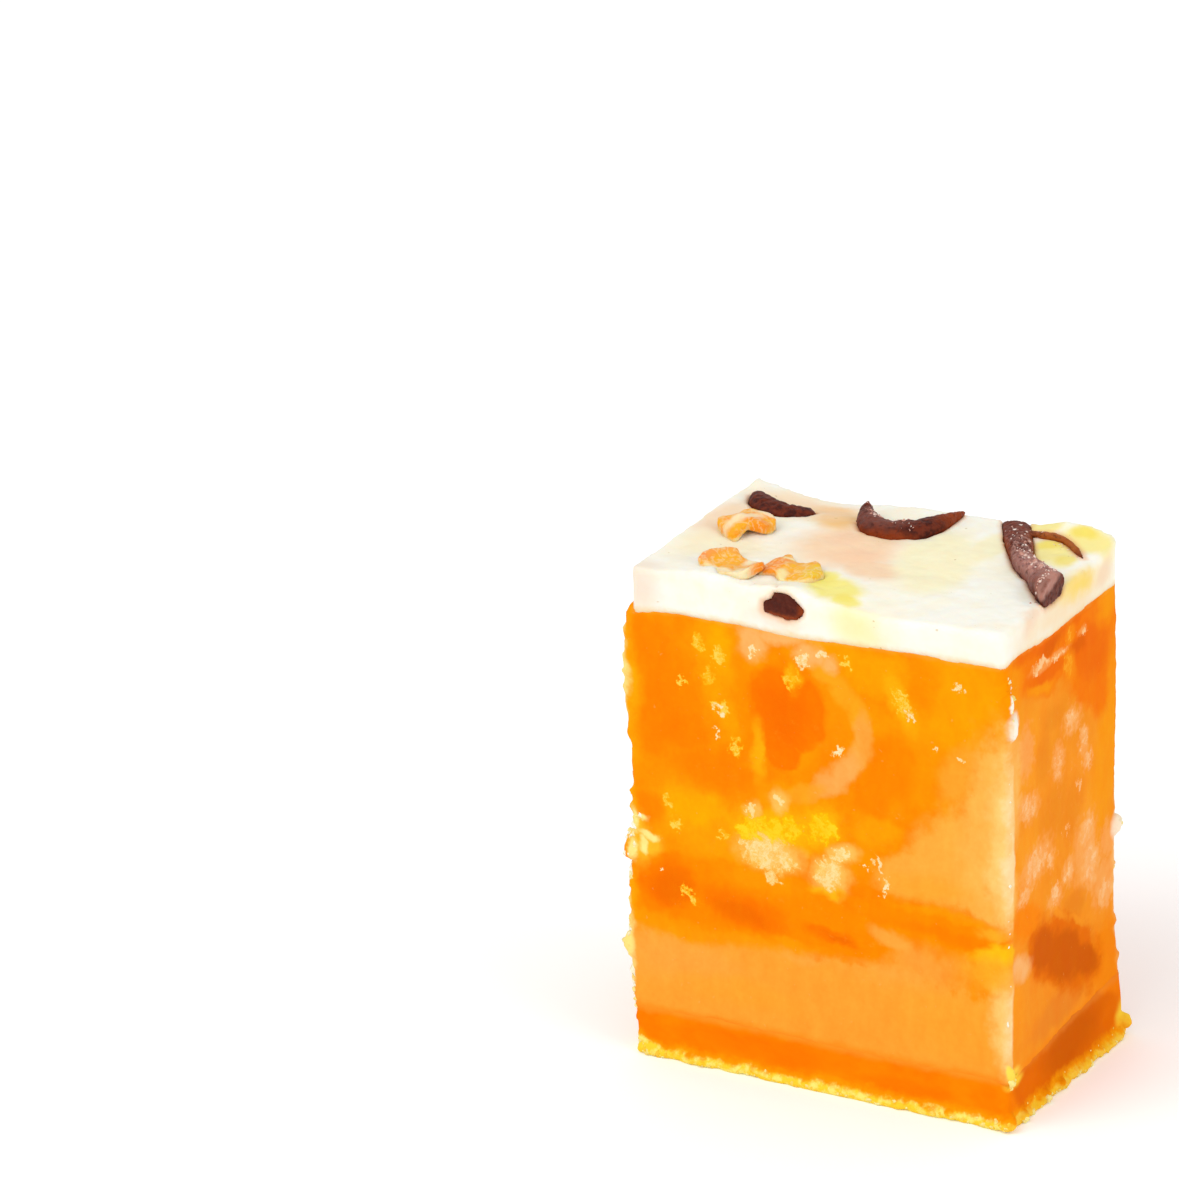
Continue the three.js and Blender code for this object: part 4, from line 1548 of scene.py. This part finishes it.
@dataclass(frozen=True)
class PeelFinish:
    """Candied orange peel: clear amber with paler pith at its folds.

    Attributes:
        skin: How it takes the light.
        amber: One of its two ground colours.
        deep: The other.
        pith: The colour of the pith.
        stains: The stains over them.
    """

    skin: Skin = Skin(roughness=0.35, gloss=0.3, soft=0.4, reach=(1.2, 0.6, 0.2))
    amber: Colour = tint(254, 176, 16)
    deep: Colour = tint(253, 152, 6)
    pith: Colour = tint(254, 230, 176)
    stains: tuple[Patch, ...] = (
        # the folded one
        Patch(
            tint(250, 156, 92),
            (
                Blob((-13.4, -8.6, 53.4), (0.9, 2.4, 2), (0, 0, -14)),
                Blob((-11.4, -6.6, 53.4), (2.6, 0.7, 2), (0, 0, 18)),
            ),
            0.85, 0.5,
        ),
        Patch(tint(255, 180, 14), (Blob((-11.4, -8.8, 52.8), (1.6, 1.8, 3)),), 0.9, 0.5),
        Patch(
            tint(253, 238, 196),
            (
                Blob((-8.6, -10.8, 52.8), (1.0, 2.6, 3), (0, 0, -20)),
                Blob((-7.4, -12.0, 52.6), (1.2, 0.8, 3)),
                Blob((-9.2, -7.0, 53.4), (0.5, 2.2, 3), (0, 0, -12)),
                Blob((-11.0, -11.2, 52.8), (1.8, 0.5, 3), (0, 0, -24)),
            ),
            0.9, 0.4,
        ),
        Patch(tint(238, 240, 196), (Blob((-8.0, -11.4, 52.8), (0.5, 0.8, 3)),), 0.8, 0.5),
        # the flat one
        Patch(tint(254, 146, 0), (Blob((-7.2, -8.4, 52.4), (1.5, 3.0, 3), (0, 0, -10)),), 0.95, 0.4),
        Patch(tint(255, 184, 26), (Blob((-4.2, -7.6, 52.4), (1.6, 1.8, 3)),), 0.9, 0.5),
        Patch(tint(244, 202, 24), (Blob((-2.5, -7.8, 52.4), (1.0, 1.9, 3)),), 0.9, 0.5),
        Patch(
            tint(252, 236, 170),
            (
                Blob((-5.2, -9.8, 52.4), (0.5, 1.3, 3), (0, 0, 10)),
                Blob((-5.6, -5.6, 52.6), (1.4, 0.4, 3), (0, 0, 14)),
            ),
            0.85, 0.5,
        ),
        # the one in the far corner
        Patch(
            tint(253, 236, 196),
            (Blob((-14.0, -0.6, 53), (0.6, 2.4, 3), (0, 0, -30)), Blob((-12.4, 2.0, 53), (1.6, 0.5, 3))), 0.8,
            0.5,
        ),
    )

    def make(self) -> bpy.types.Material:
        """Builds the material.

        Returns:
            The material.
        """
        g = Graph("candied peel", self.skin)
        place = g.warped(g.place, 0.6, 1.0, 3.0)
        colour = g.mix(g.ramp(g.noise(place, 0.5, 2.0), 0.4, 0.6), self.deep, self.amber)
        for patch in self.stains:
            colour = g.stain(colour, place, patch)
        colour = g.varied(colour, g.noise(g.stretched(g.place, (1.2, 0.5, 1)), 1.2, 3.0, 0.6), 0.16)
        pale = g.noise(g.vector("ADD", place, (9.0, 2.0, 4.0)), 0.7, 3.0)
        colour = g.lay(colour, self.pith, g.ramp(pale, 0.58, 0.7), 0.5)
        vein = g.ramp(g.math("ABSOLUTE", g.math("SUBTRACT", pale, 0.47)), 0.05, 0.01)
        colour = g.lay(colour, self.pith, vein, 0.4)
        edge = g.math("ADD", g.attribute("seam_icing"), g.swing(pale, 1.2))
        colour = g.lay(colour, self.pith, g.ramp(edge, 0.5, 0.15), 0.8)
        g.bump(g.noise(g.place, 2.2, 4.0, 0.6), 0.05, 0.6)
        return g.finish(colour)


@dataclass(frozen=True)
class CrumbFinish:
    """Small crumbs, each with its own tone from deep to pale.

    Attributes:
        name: The material's name.
        low: The deepest tone.
        high: The palest.
        skin: How they take the light.
    """

    name: str = "fudge crumb"
    low: Colour = tint(255, 208, 56)
    high: Colour = tint(255, 244, 160)
    skin: Skin = Skin(roughness=0.6, gloss=0.03, soft=0.0)

    def make(self) -> bpy.types.Material:
        """Builds the material.

        Returns:
            The material.
        """
        g = Graph(self.name, self.skin)
        tone = g.math("ADD", g.attribute("tone"), g.swing(g.noise(g.place, 2.5, 2.0), 0.6))
        colour = g.mix(g.ramp(tone, 0.0, 1.0), self.low, self.high)
        g.bump(g.noise(g.place, 6.0, 3.0), 0.03, 0.6)
        return g.finish(colour)


FOOT_CRUMB = CrumbFinish()
SUGAR_GRAIN = CrumbFinish("sugar grain", tint(214, 150, 130), tint(255, 240, 228), Skin(0.3, 0.4, 0.0))
EDGE_CRUMB = CrumbFinish("edge crumb", tint(255, 230, 130), tint(255, 252, 232))


# ---------------------------------------------------------------- the layers


@dataclass
class Piece:
    """A skin that stands for one CAD node.

    Attributes:
        node: The CAD node.
        slot: Its material slot, by which the built layers are kept.
    """

    node: str
    slot: Slot

    def dress(self, obj: bpy.types.Object, material: bpy.types.Material) -> None:
        """Gives the piece its material and hands it over.

        Args:
            obj: The piece.
            material: Its material.
        """
        obj.data.materials.append(material)
        hand_over(obj, (self.node,))


@dataclass
class Layer(Piece):
    """One layer of the block: a fine skin over the CAD node, with its relief.

    Attributes:
        voxel: The size of its faces, in millimetres.
        grow: How far its skin lies outside the node's.
        waves: The knife's waves: their length and their height.
        neighbours: The nodes it meets, by the attribute that holds the distance to them.
        near: Other nodes that its material has to know of, the same way.
        lap_down: How far it reaches into the node below.
        lap_up: How far it reaches into the node above.
        flat: How straight up or down a face looks that counts as a seam.
        touch: How near to its neighbour such a face is.
    """

    voxel: float = 0.3
    grow: float = 0.13
    waves: tuple[float, float] = (7.0, 0.22)
    neighbours: dict[str, tuple[str, ...]] = field(default_factory=dict)
    near: dict[str, tuple[str, ...]] = field(default_factory=dict)
    lap_down: float = 0.0
    lap_up: float = 0.0
    flat: float = 0.7
    touch: float = 0.8

    def build(self) -> bpy.types.Object:
        """Makes the layer's mesh.

        Returns:
            The piece, in place of its CAD node.
        """
        obj = copy_of(self.node, self.node + "_skin")
        self.lap(obj)
        resurface(obj, self.voxel, self.grow)
        roughen(obj, "knife waves", *self.waves, 1)
        self.relief(obj)
        stand(obj)
        for name, nodes in (self.neighbours | self.near).items():
            carry(obj, name, seam_distance(obj, nodes))
        shade_smooth(obj)
        return obj

    def lap(self, obj: bpy.types.Object) -> None:
        """Lets the layer reach into its neighbours at its seams, so that no groove shows between them.

        Args:
            obj: The layer, still with the node's own faces.
        """
        trees = [tree_of(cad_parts[n]) for nodes in self.neighbours.values() for n in nodes]
        for down, reach in ((True, self.lap_down), (False, self.lap_up)):
            if not reach:
                continue
            moved = set()
            for face in obj.data.polygons:
                level = -face.normal.z if down else face.normal.z
                reached = (tree.find_nearest(face.center, self.touch * MM)[0] for tree in trees)
                if level > self.flat and any(place is not None for place in reached):
                    moved.update(face.vertices)
            for index in moved:
                obj.data.vertices[index].co.z += (-reach if down else reach) * MM

    def relief(self, obj: bpy.types.Object) -> None:
        """Gives the skin its own unevenness; a plain layer gets none, and each kind of layer adds its own.

        Args:
            obj: The layer; not used here.
        """


@dataclass
class BaseLayer(Layer):
    """The dark bottom layer.

    Attributes:
        sole: The height up to which its foot stays flat, in millimetres.
        rough_to: The height at which its roughness ends.
        rough_over: The height over which it fades.
    """

    node: str = "base_layer"
    slot: Slot = Slot.BASE
    voxel: float = 0.28
    lap_up: float = 0.35
    sole: float = 0.25
    rough_to: float = 1.7
    rough_over: float = 0.9

    def relief(self, obj: bpy.types.Object) -> None:
        """Roughens the foot, and gives the rest a little grain.

        Args:
            obj: The layer.
        """
        foot = weigh(
            obj, "foot", lambda x, y, z: (self.rough_to - z) / self.rough_over if z > self.sole else 0.0
        )
        roughen(obj, "foot lumps", 1.4, 0.5, 2, foot, 0.42)
        roughen(obj, "base grain", 0.7, 0.06, 2)


@dataclass
class Body(Layer):
    """The orange body.

    Attributes:
        corners: For each rough upright edge its x and y, how far it is rough, and how much.
        crumbly: For each crumbly cluster in front its x and z, half its width and half its height.
        front: The y in front of which the clusters are.
    """

    node: str = "fudge_body"
    slot: Slot = Slot.BODY
    voxel: float = 0.33
    lap_down: float = 0.5
    lap_up: float = 0.4
    corners: tuple[tuple[float, float, float, float], ...] = (
        (-20.7, -12.4, 1.6, 1.0),
        (20.2, -12.4, 1.2, 0.6),
        (20.2, 12.4, 1.2, 0.6),
    )
    crumbly: tuple[tuple[float, float, float, float], ...] = (
        (-3.0, 27.4, 5.0, 2.0),
        (-5.2, 24.0, 3.4, 2.0),
        (1.2, 24.6, 2.2, 2.0),
        (-11.0, 43.0, 2.0, 3.4),
        (-9.4, 37.0, 1.4, 2.8),
        (9.6, 43.0, 1.0, 1.8),
        (-20.0, 24.0, 1.6, 2.6),
    )
    front: float = -11.4

    def relief(self, obj: bpy.types.Object) -> None:
        """Roughens the upright edges and the clusters in front.

        Args:
            obj: The body.
        """

        def edges(x: float, y: float, z: float) -> float:
            """Rough near the upright edges.

            Args:
                x: Millimetres to the right.
                y: Millimetres back.
                z: Millimetres up; not used.

            Returns:
                How rough it is there.
            """
            return max(much * (1 - math.hypot(x - cx, y - cy) / far) for cx, cy, far, much in self.corners)

        def clusters(x: float, y: float, z: float) -> float:
            """Crumbly where the front's clusters of grains are.

            Args:
                x: Millimetres to the right.
                y: Millimetres back.
                z: Millimetres up.

            Returns:
                How crumbly it is there.
            """
            if y >= self.front:
                return 0.0
            return max(
                1.4 - math.hypot((x - cx) / wide, (z - cz) / high) for cx, cz, wide, high in self.crumbly
            )

        rough = weigh(obj, "rough", edges)
        roughen(obj, "crumbly grain", 0.9, 0.34, 2, weigh(obj, "crumbly", clusters), 0.45)
        roughen(obj, "edge lumps", 0.9, 0.5, 2, rough, 0.5)
        roughen(obj, "body grain", 0.8, 0.06, 2)


@dataclass
class Icing(Layer):
    """The white icing on top.

    Attributes:
        spread_from: The height at which the spread marks begin, in millimetres.
    """

    node: str = "white_icing"
    slot: Slot = Slot.ICING
    voxel: float = 0.25
    grow: float = 0.17
    lap_down: float = 0.3
    spread_from: float = 50.5

    def relief(self, obj: bpy.types.Object) -> None:
        """Gives the top its soft spread marks, and all of it a little grain.

        Args:
            obj: The icing.
        """
        top = weigh(obj, "top", lambda x, y, z: z - self.spread_from)
        roughen(obj, "spread marks", 2.4, 0.32, 2, top, 0.5)
        roughen(obj, "icing grain", 0.7, 0.05, 2)


@dataclass
class Topping(Piece):
    """A bit that lies in the icing: a finer skin over its CAD node.

    Attributes:
        voxel: The size of its faces, in millimetres.
        grow: How far its skin lies outside the node's.
        lumps: The size of its lumps.
        rise: Their height.
        near: Nodes that its material has to know of, by the attribute that holds the distance to them.
    """

    voxel: float = 0.12
    grow: float = 0.1
    lumps: float = 0.9
    rise: float = 0.3
    near: dict[str, tuple[str, ...]] = field(default_factory=dict)

    def build(self) -> bpy.types.Object:
        """Makes the bit's mesh.

        Returns:
            The piece, in place of its CAD node.
        """
        obj = copy_of(self.node, self.node + "_skin")
        resurface(obj, self.voxel, self.grow)
        roughen(obj, self.node + " lumps", self.lumps, self.rise, 3)
        for name, nodes in self.near.items():
            carry(obj, name, seam_distance(obj, nodes))
        shade_smooth(obj)
        return obj


# ---------------------------------------------------------------- crumbs


@dataclass(frozen=True)
class Run:
    """Crumbs along a line: they fall from it straight onto the block.

    Attributes:
        start: One end, outside the block, in millimetres.
        end: The other end.
        push: The way they fall.
        count: How many.
        sizes: Least and most radius, in millimetres.
        scatter: How far they stray from the line, in millimetres.
    """

    start: Triple
    end: Triple
    push: Triple
    count: int
    sizes: tuple[float, float]
    scatter: Triple


@dataclass
class CrumbField:
    """Crumbs of one kind, copied from a few that are modelled once, in one mesh.

    Attributes:
        name: The piece's name.
        slot: Its material slot; not used.
        runs: The lines they lie along.
        seed: The seed of their scatter.
        kinds: How many of them are modelled.
        ragged: How rough they are, in shares of their radius.
        sink: How deep they sit, in shares of their radius.
        flatness: Their breadth and height, in shares of their length.
        reach: How far they fall at most, in millimetres.
        ground_below: The height below which they lie on the ground, in millimetres.
        rest: How high their middle then is, in shares of their radius.
        pull: How much each is pulled, least and most, along its three axes.
    """

    name: str
    slot: Slot
    runs: tuple[Run, ...]
    seed: int
    kinds: int = 4
    ragged: float = 0.3
    sink: float = 0.25
    flatness: tuple[float, float] = (0.8, 0.7)
    reach: float = 8.0
    ground_below: float = 5.0
    rest: float = 0.55
    pull: tuple[float, float] = (0.75, 1.3)

    def models(self) -> list[tuple[np.ndarray, np.ndarray]]:
        """Models the crumbs that the rest are copied from.

        Returns:
            Each one's vertices and triangles.
        """
        made = []
        for kind in range(self.kinds):
            bpy.ops.object.select_all(action="DESELECT")
            bpy.ops.mesh.primitive_ico_sphere_add(subdivisions=2, radius=1.0)
            obj = bpy.context.active_object
            bpy.ops.object.mode_set(mode="EDIT")
            bpy.ops.mesh.select_all(action="SELECT")
            bpy.ops.transform.vertex_random(
                offset=self.ragged, uniform=0.6, normal=0.4, seed=self.seed + kind,
            )
            bpy.ops.transform.resize(value=(1.0, *self.flatness))
            bpy.ops.object.mode_set(mode="OBJECT")
            faces = np.array([p.vertices[:] for p in obj.data.polygons])
            made.append((points_of(obj).copy(), faces))
            bpy.data.objects.remove(obj)
        return made

    def build(self, ground: Sequence[bpy.types.Object]) -> bpy.types.Object:
        """Strews the crumbs.

        Args:
            ground: The pieces that they fall on.

        Returns:
            All of them as one object.
        """
        dice = random.Random(self.seed)
        trees = [tree_of(obj) for obj in ground]
        models = self.models()
        places, faces, tones, total = [], [], [], 0
        for run in self.runs:
            a, b, push = Vector(run.start), Vector(run.end), Vector(run.push).normalized()
            for _ in range(run.count):
                share = dice.random()
                stray = Vector([dice.uniform(-s, s) for s in run.scatter])
                size = dice.uniform(*run.sizes) * (0.7 + 0.6 * dice.random() ** 3)
                turn = Euler([dice.uniform(0, math.tau) for _ in range(3)]).to_matrix()
                pull = Vector([dice.uniform(*self.pull) for _ in range(3)])
                points, triangles = models[dice.randrange(self.kinds)]
                tone = dice.random()
                start = spot(*(a.lerp(b, share) + stray))
                hits = [tree.ray_cast(start, push, self.reach * MM) for tree in trees]
                hits = [hit for hit in hits if hit[0] is not None]
                if not hits:
                    continue
                place, normal, _, _ = min(hits, key=lambda hit: hit[3])
                middle = place - normal * size * self.sink * MM
                if run.start[2] < self.ground_below:
                    middle.z = max(middle.z, self.rest * size * MM)
                turned = (points * np.array(pull)) @ np.array(turn).T * size * MM
                turned += np.array(middle)
                turned[:, 2] = np.maximum(turned[:, 2], 0.0)
                places.append(turned)
                faces.append(triangles + total)
                tones += [tone] * len(points)
                total += len(points)
        mesh = bpy.data.meshes.new(self.name)
        mesh.from_pydata(np.concatenate(places).tolist(), [], np.concatenate(faces).tolist())
        obj = bpy.data.objects.new(self.name, mesh)
        bpy.context.scene.collection.objects.link(obj)
        carry(obj, "tone", tones)
        shade_smooth(obj)
        return obj

    def dress(self, obj: bpy.types.Object, material: bpy.types.Material) -> None:
        """Gives the crumbs their material and hands them over.

        Args:
            obj: The crumbs.
            material: Their material.
        """
        obj.data.materials.append(material)
        hand_over(obj)


CHOCOLATES = ("chocolate_chip", "chocolate_curl_back", "chocolate_curl_side", "chocolate_curl_corner")
PEELS = ("peel_folded", "peel_flat", "peel_corner")

FOOT_RUNS = (
    Run((-21, -16, 0.3), (21, -16, 0.3), (0, 1, 0), 46, (0.12, 0.34), (0.3, 0.1, 0.2)),
    Run((-21, -16, 0.8), (21, -16, 0.8), (0, 1, 0), 12, (0.1, 0.22), (0.3, 0.1, 0.4)),
    Run((-21.4, -16, 1.0), (-17.6, -16, 0.6), (0, 1, 0), 18, (0.2, 0.45), (0.3, 0.1, 0.6)),
    Run((17.6, -16, 0.8), (20.8, -16, 1.0), (0, 1, 0), 10, (0.16, 0.36), (0.3, 0.1, 0.4)),
    Run((25, -16.4, 4.4), (25, -15.4, 5.6), (-1, 0.9, 0), 12, (0.25, 0.5), (0.4, 0.4, 0.3)),
    Run((25, -12, 0.3), (25, 12, 0.3), (-1, 0, 0), 44, (0.14, 0.38), (0.1, 0.3, 0.25)),
    Run((25, -12, 1.0), (25, 12, 1.0), (-1, 0, 0), 14, (0.1, 0.24), (0.1, 0.5, 0.5)),
    Run((-21, 16, 0.3), (21, 16, 0.3), (0, -1, 0), 60, (0.14, 0.36), (0.3, 0.1, 0.3)),
    Run((-25, -12, 0.3), (-25, 12, 0.3), (1, 0, 0), 54, (0.14, 0.38), (0.1, 0.3, 0.4)),
)
EDGE_RUNS = (
    Run((-25, -12.1, 5), (-25, -12.1, 15), (1, 0.02, 0), 30, (0.16, 0.44), (0.1, 0.3, 0.4)),
    Run((-25, -12.1, 18), (-25, -12.1, 27), (1, 0.02, 0), 40, (0.2, 0.55), (0.1, 0.3, 0.4)),
    Run((-20.6, -16, 21.4), (-19.8, -16, 26), (0, 1, 0), 14, (0.2, 0.5), (0.7, 0.1, 0.6)),
    Run((-25, -12.1, 27), (-25, -12.1, 47), (1, 0.02, 0), 44, (0.12, 0.32), (0.1, 0.3, 0.4)),
    Run((25, -16.7, 43.6), (25, -16.9, 47.6), (-1, 0.95, 0), 12, (0.12, 0.34), (0.2, 0.2, 0.4)),
    Run((25, -16.8, 7), (25, -16.8, 40), (-1, 0.95, 0), 12, (0.1, 0.24), (0.2, 0.2, 0.4)),
    Run((25, 12.6, 2), (25, 12.6, 30), (-1, 0, 0), 30, (0.16, 0.4), (0.1, 0.3, 0.4)),
    Run((-25, 12.4, 3), (-25, 12.4, 47), (1, 0, 0), 44, (0.14, 0.38), (0.1, 0.3, 0.4)),
)
SUGAR_RUNS = (
    Run((-5.2, 9.6, 57), (-3.0, 6.4, 57), (0, 0, -1), 22, (0.08, 0.2), (0.5, 0.5, 0.1)),
    Run((-3.6, 7.1, 57), (-0.4, 6.9, 57), (0, 0, -1), 36, (0.1, 0.26), (0.4, 0.3, 0.1)),
    Run((-0.4, 6.9, 57), (1.6, 9.2, 57), (0, 0, -1), 24, (0.08, 0.24), (0.3, 0.3, 0.1)),
    Run((-2.0, 5.6, 57), (1.0, 5.6, 57), (0, 0, -1), 10, (0.06, 0.13), (0.8, 0.5, 0.1)),
    Run((9.6, 11.6, 57), (14.4, 3.8, 57), (0, 0, -1), 44, (0.08, 0.2), (1.0, 0.9, 0.1)),
    Run((14.4, 3.8, 57), (18.4, -0.6, 57), (0, 0, -1), 34, (0.1, 0.3), (1.0, 0.9, 0.1)),
    Run((18.8, -4.6, 57), (19.0, 0.6, 57), (0, 0, -1), 34, (0.1, 0.24), (0.25, 0.3, 0.1)),
    Run((12, 11, 57), (18, 7.6, 57), (0, 0, -1), 18, (0.07, 0.15), (0.5, 0.6, 0.1)),
)


# ---------------------------------------------------------------- the studio


def outward(azimuth: float, elevation: float) -> Vector:
    """Finds the way from the block to something that looks at it.

    Args:
        azimuth: Its turn from straight in front, in degrees, positive to the right.
        elevation: Its height, in degrees.

    Returns:
        The way, one long.
    """
    az, el = math.radians(azimuth), math.radians(elevation)
    return Vector((math.sin(az) * math.cos(el), -math.cos(az) * math.cos(el), math.sin(el)))


@dataclass(frozen=True)
class Lamp:
    """A soft square lamp that faces the block.

    Attributes:
        name: Its name.
        azimuth: Its turn from straight in front, in degrees, positive to the right.
        elevation: Its height, in degrees.
        distance: How far off it is, in metres.
        size: Its side, in metres.
        power: Its power, in watts.
        aim: The height that it faces, in metres.
    """

    name: str
    azimuth: float
    elevation: float
    distance: float
    size: float
    power: float
    aim: float = 0.026

    def hang(self) -> None:
        """Hangs the lamp."""
        back = outward(self.azimuth, self.elevation)
        data = bpy.data.lights.new(self.name, "AREA")
        data.shape, data.size, data.energy = "SQUARE", self.size, self.power
        obj = bpy.data.objects.new(self.name, data)
        place = Matrix.Translation(back * self.distance + Vector((0, 0, self.aim)))
        obj.matrix_world = place @ back.to_track_quat("Z", "Y").to_matrix().to_4x4()
        bpy.context.scene.collection.objects.link(obj)


@dataclass
class Studio:
    """Plain white floor, soft light and the camera.

    Attributes:
        azimuth: The camera's turn from straight in front, in degrees.
        elevation: Its height above the floor, in degrees.
        roll: Its lean, in degrees.
        distance: How far it stands off, in millimetres.
        aim: What it looks at, right and up from the block's middle, in millimetres.
        middle: The height of the block's middle, in millimetres.
        focal: Its focal length, in pixels.
        width: The image's width, in pixels.
        sensor: Its sensor's width, in millimetres.
        clip: The nearest and the farthest it sees, in metres.
        floor_size: The floor's side, in metres.
        floor_low: One of the floor's two whites.
        floor_high: The other.
        floor_glow: How much the floor shines by itself, as a lit table does.
        white: The light's colour.
        sky: The sky's strength.
        lamps: The lamps.
    """

    azimuth: float = 28.41
    elevation: float = 22.66
    roll: float = -1.09
    distance: float = 779.7
    aim: tuple[float, float] = (-27.65, 20.81)
    middle: float = 26.5
    focal: float = 8000.0
    width: float = 1179.0
    sensor: float = 36.0
    clip: tuple[float, float] = (0.05, 20.0)
    floor_size: float = 6.0
    floor_low: Colour = (0.95, 0.945, 0.94, 1.0)
    floor_high: Colour = (0.97, 0.968, 0.965, 1.0)
    floor_glow: float = 0.1
    white: Colour = (1.0, 1.0, 1.0, 1.0)
    sky: float = 0.745
    lamps: tuple[Lamp, ...] = (Lamp("key", -25, 48, 1.2, 0.9, 6.5), Lamp("fill", 80, 25, 1.4, 0.9, 4.8))

    def camera(self) -> None:
        """Places the camera."""
        az, roll = math.radians(self.azimuth), math.radians(self.roll)
        back = outward(self.azimuth, self.elevation)
        right = Vector((math.cos(az), math.sin(az), 0.0))
        up = back.cross(right)
        place = Vector((0, 0, self.middle)) + right * self.aim[0] + up * self.aim[1] + back * self.distance
        side = right * math.cos(roll) + up * math.sin(roll)
        top = up * math.cos(roll) - right * math.sin(roll)
        data = bpy.data.cameras.new("camera")
        data.sensor_width = self.sensor
        data.lens = self.focal / self.width * self.sensor
        data.clip_start, data.clip_end = self.clip
        obj = bpy.data.objects.new("camera", data)
        turn = Matrix((side, top, back)).transposed().to_4x4()
        obj.matrix_world = Matrix.Translation(place * MM) @ turn
        bpy.context.scene.collection.objects.link(obj)
        bpy.context.scene.camera = obj

    def floor(self) -> None:
        """Lays the floor, which is no part of the block."""
        bpy.ops.object.select_all(action="DESELECT")
        bpy.ops.mesh.primitive_plane_add(size=self.floor_size, location=(0, 0, 0))
        obj = bpy.context.active_object
        obj.name = "floor"
        g = Graph("floor", Skin(roughness=0.7, gloss=0.1, soft=0.0))
        g.shader.inputs["Emission Color"].default_value = self.white
        g.shader.inputs["Emission Strength"].default_value = self.floor_glow
        obj.data.materials.append(
            g.finish(g.mix(g.noise(g.place, 0.01, 2.0), self.floor_low, self.floor_high)),
        )

    def light(self) -> None:
        """Sets the sky and the lamps."""
        world = bpy.data.worlds.new("sky")
        world.use_nodes = True
        backdrop = world.node_tree.nodes["Background"]
        backdrop.inputs["Color"].default_value = self.white
        backdrop.inputs["Strength"].default_value = self.sky
        bpy.context.scene.world = world
        for lamp in self.lamps:
            lamp.hang()

    def build(self) -> None:
        """Sets up everything round the block."""
        self.camera()
        self.floor()
        self.light()
        view = bpy.context.scene.view_settings
        view.view_transform = "Standard"
        view.look = "None"


# ---------------------------------------------------------------- the block


def build_layers() -> dict[Slot, bpy.types.Object]:
    """Builds the three layers.

    Returns:
        Each one's piece by its slot.
    """
    layers: tuple[Layer, ...] = (
        Body(neighbours={"seam_base": ("base_layer",), "seam_icing": ("white_icing",)}),
        BaseLayer(neighbours={"seam_body": ("fudge_body",)}),
        Icing(neighbours={"seam_body": ("fudge_body",)}, near={"seam_chocolate": CHOCOLATES}),
    )
    pieces = {layer.slot: layer.build() for layer in layers}
    for layer, finish in zip(layers, (BodyFinish(), BaseFinish(), IcingFinish())):
        layer.dress(pieces[layer.slot], finish.make())
    return pieces


def build_toppings() -> list[bpy.types.Object]:
    """Builds the bits that lie in the icing.

    Returns:
        The chocolate ones.
    """
    chocolate, peel = ChocolateFinish().make(), PeelFinish().make()
    chocolates = []
    for node in CHOCOLATES:
        topping = Topping(node, Slot.CHOCOLATE, lumps=0.6, rise=0.22)
        chocolates.append(topping.build())
        topping.dress(chocolates[-1], chocolate)
    for node in PEELS:
        topping = Topping(node, Slot.PEEL, lumps=1.4, rise=0.25, near={"seam_icing": ("white_icing",)})
        topping.dress(topping.build(), peel)
    return chocolates


def strew_crumbs(layers: dict[Slot, bpy.types.Object], chocolates: list[bpy.types.Object]) -> None:
    """Strews the crumbs and the sugar.

    Args:
        layers: The layers by their slots.
        chocolates: The chocolate bits.
    """
    body, base, icing = layers[Slot.BODY], layers[Slot.BASE], layers[Slot.ICING]
    fields = (
        (CrumbField("foot_crumbs", Slot.BASE, FOOT_RUNS, 5, sink=0.45), [base, body], FOOT_CRUMB),
        (
            CrumbField("sugar_grains", Slot.ICING, SUGAR_RUNS, 21, ragged=0.35, sink=0.4),
            chocolates + [icing],
            SUGAR_GRAIN,
        ),
        (CrumbField("edge_crumbs", Slot.BODY, EDGE_RUNS, 9, sink=0.45), [body, base], EDGE_CRUMB),
    )
    for crumbs, ground, finish in fields:
        crumbs.dress(crumbs.build(ground), finish.make())


def main() -> None:
    """Builds the block layer by layer, strews its crumbs and sets up the studio."""
    logging.basicConfig(level=logging.INFO, format="%(message)s")
    Studio().build()
    layers = build_layers()
    chocolates = build_toppings()
    strew_crumbs(layers, chocolates)


if __name__ == "__main__":
    main()
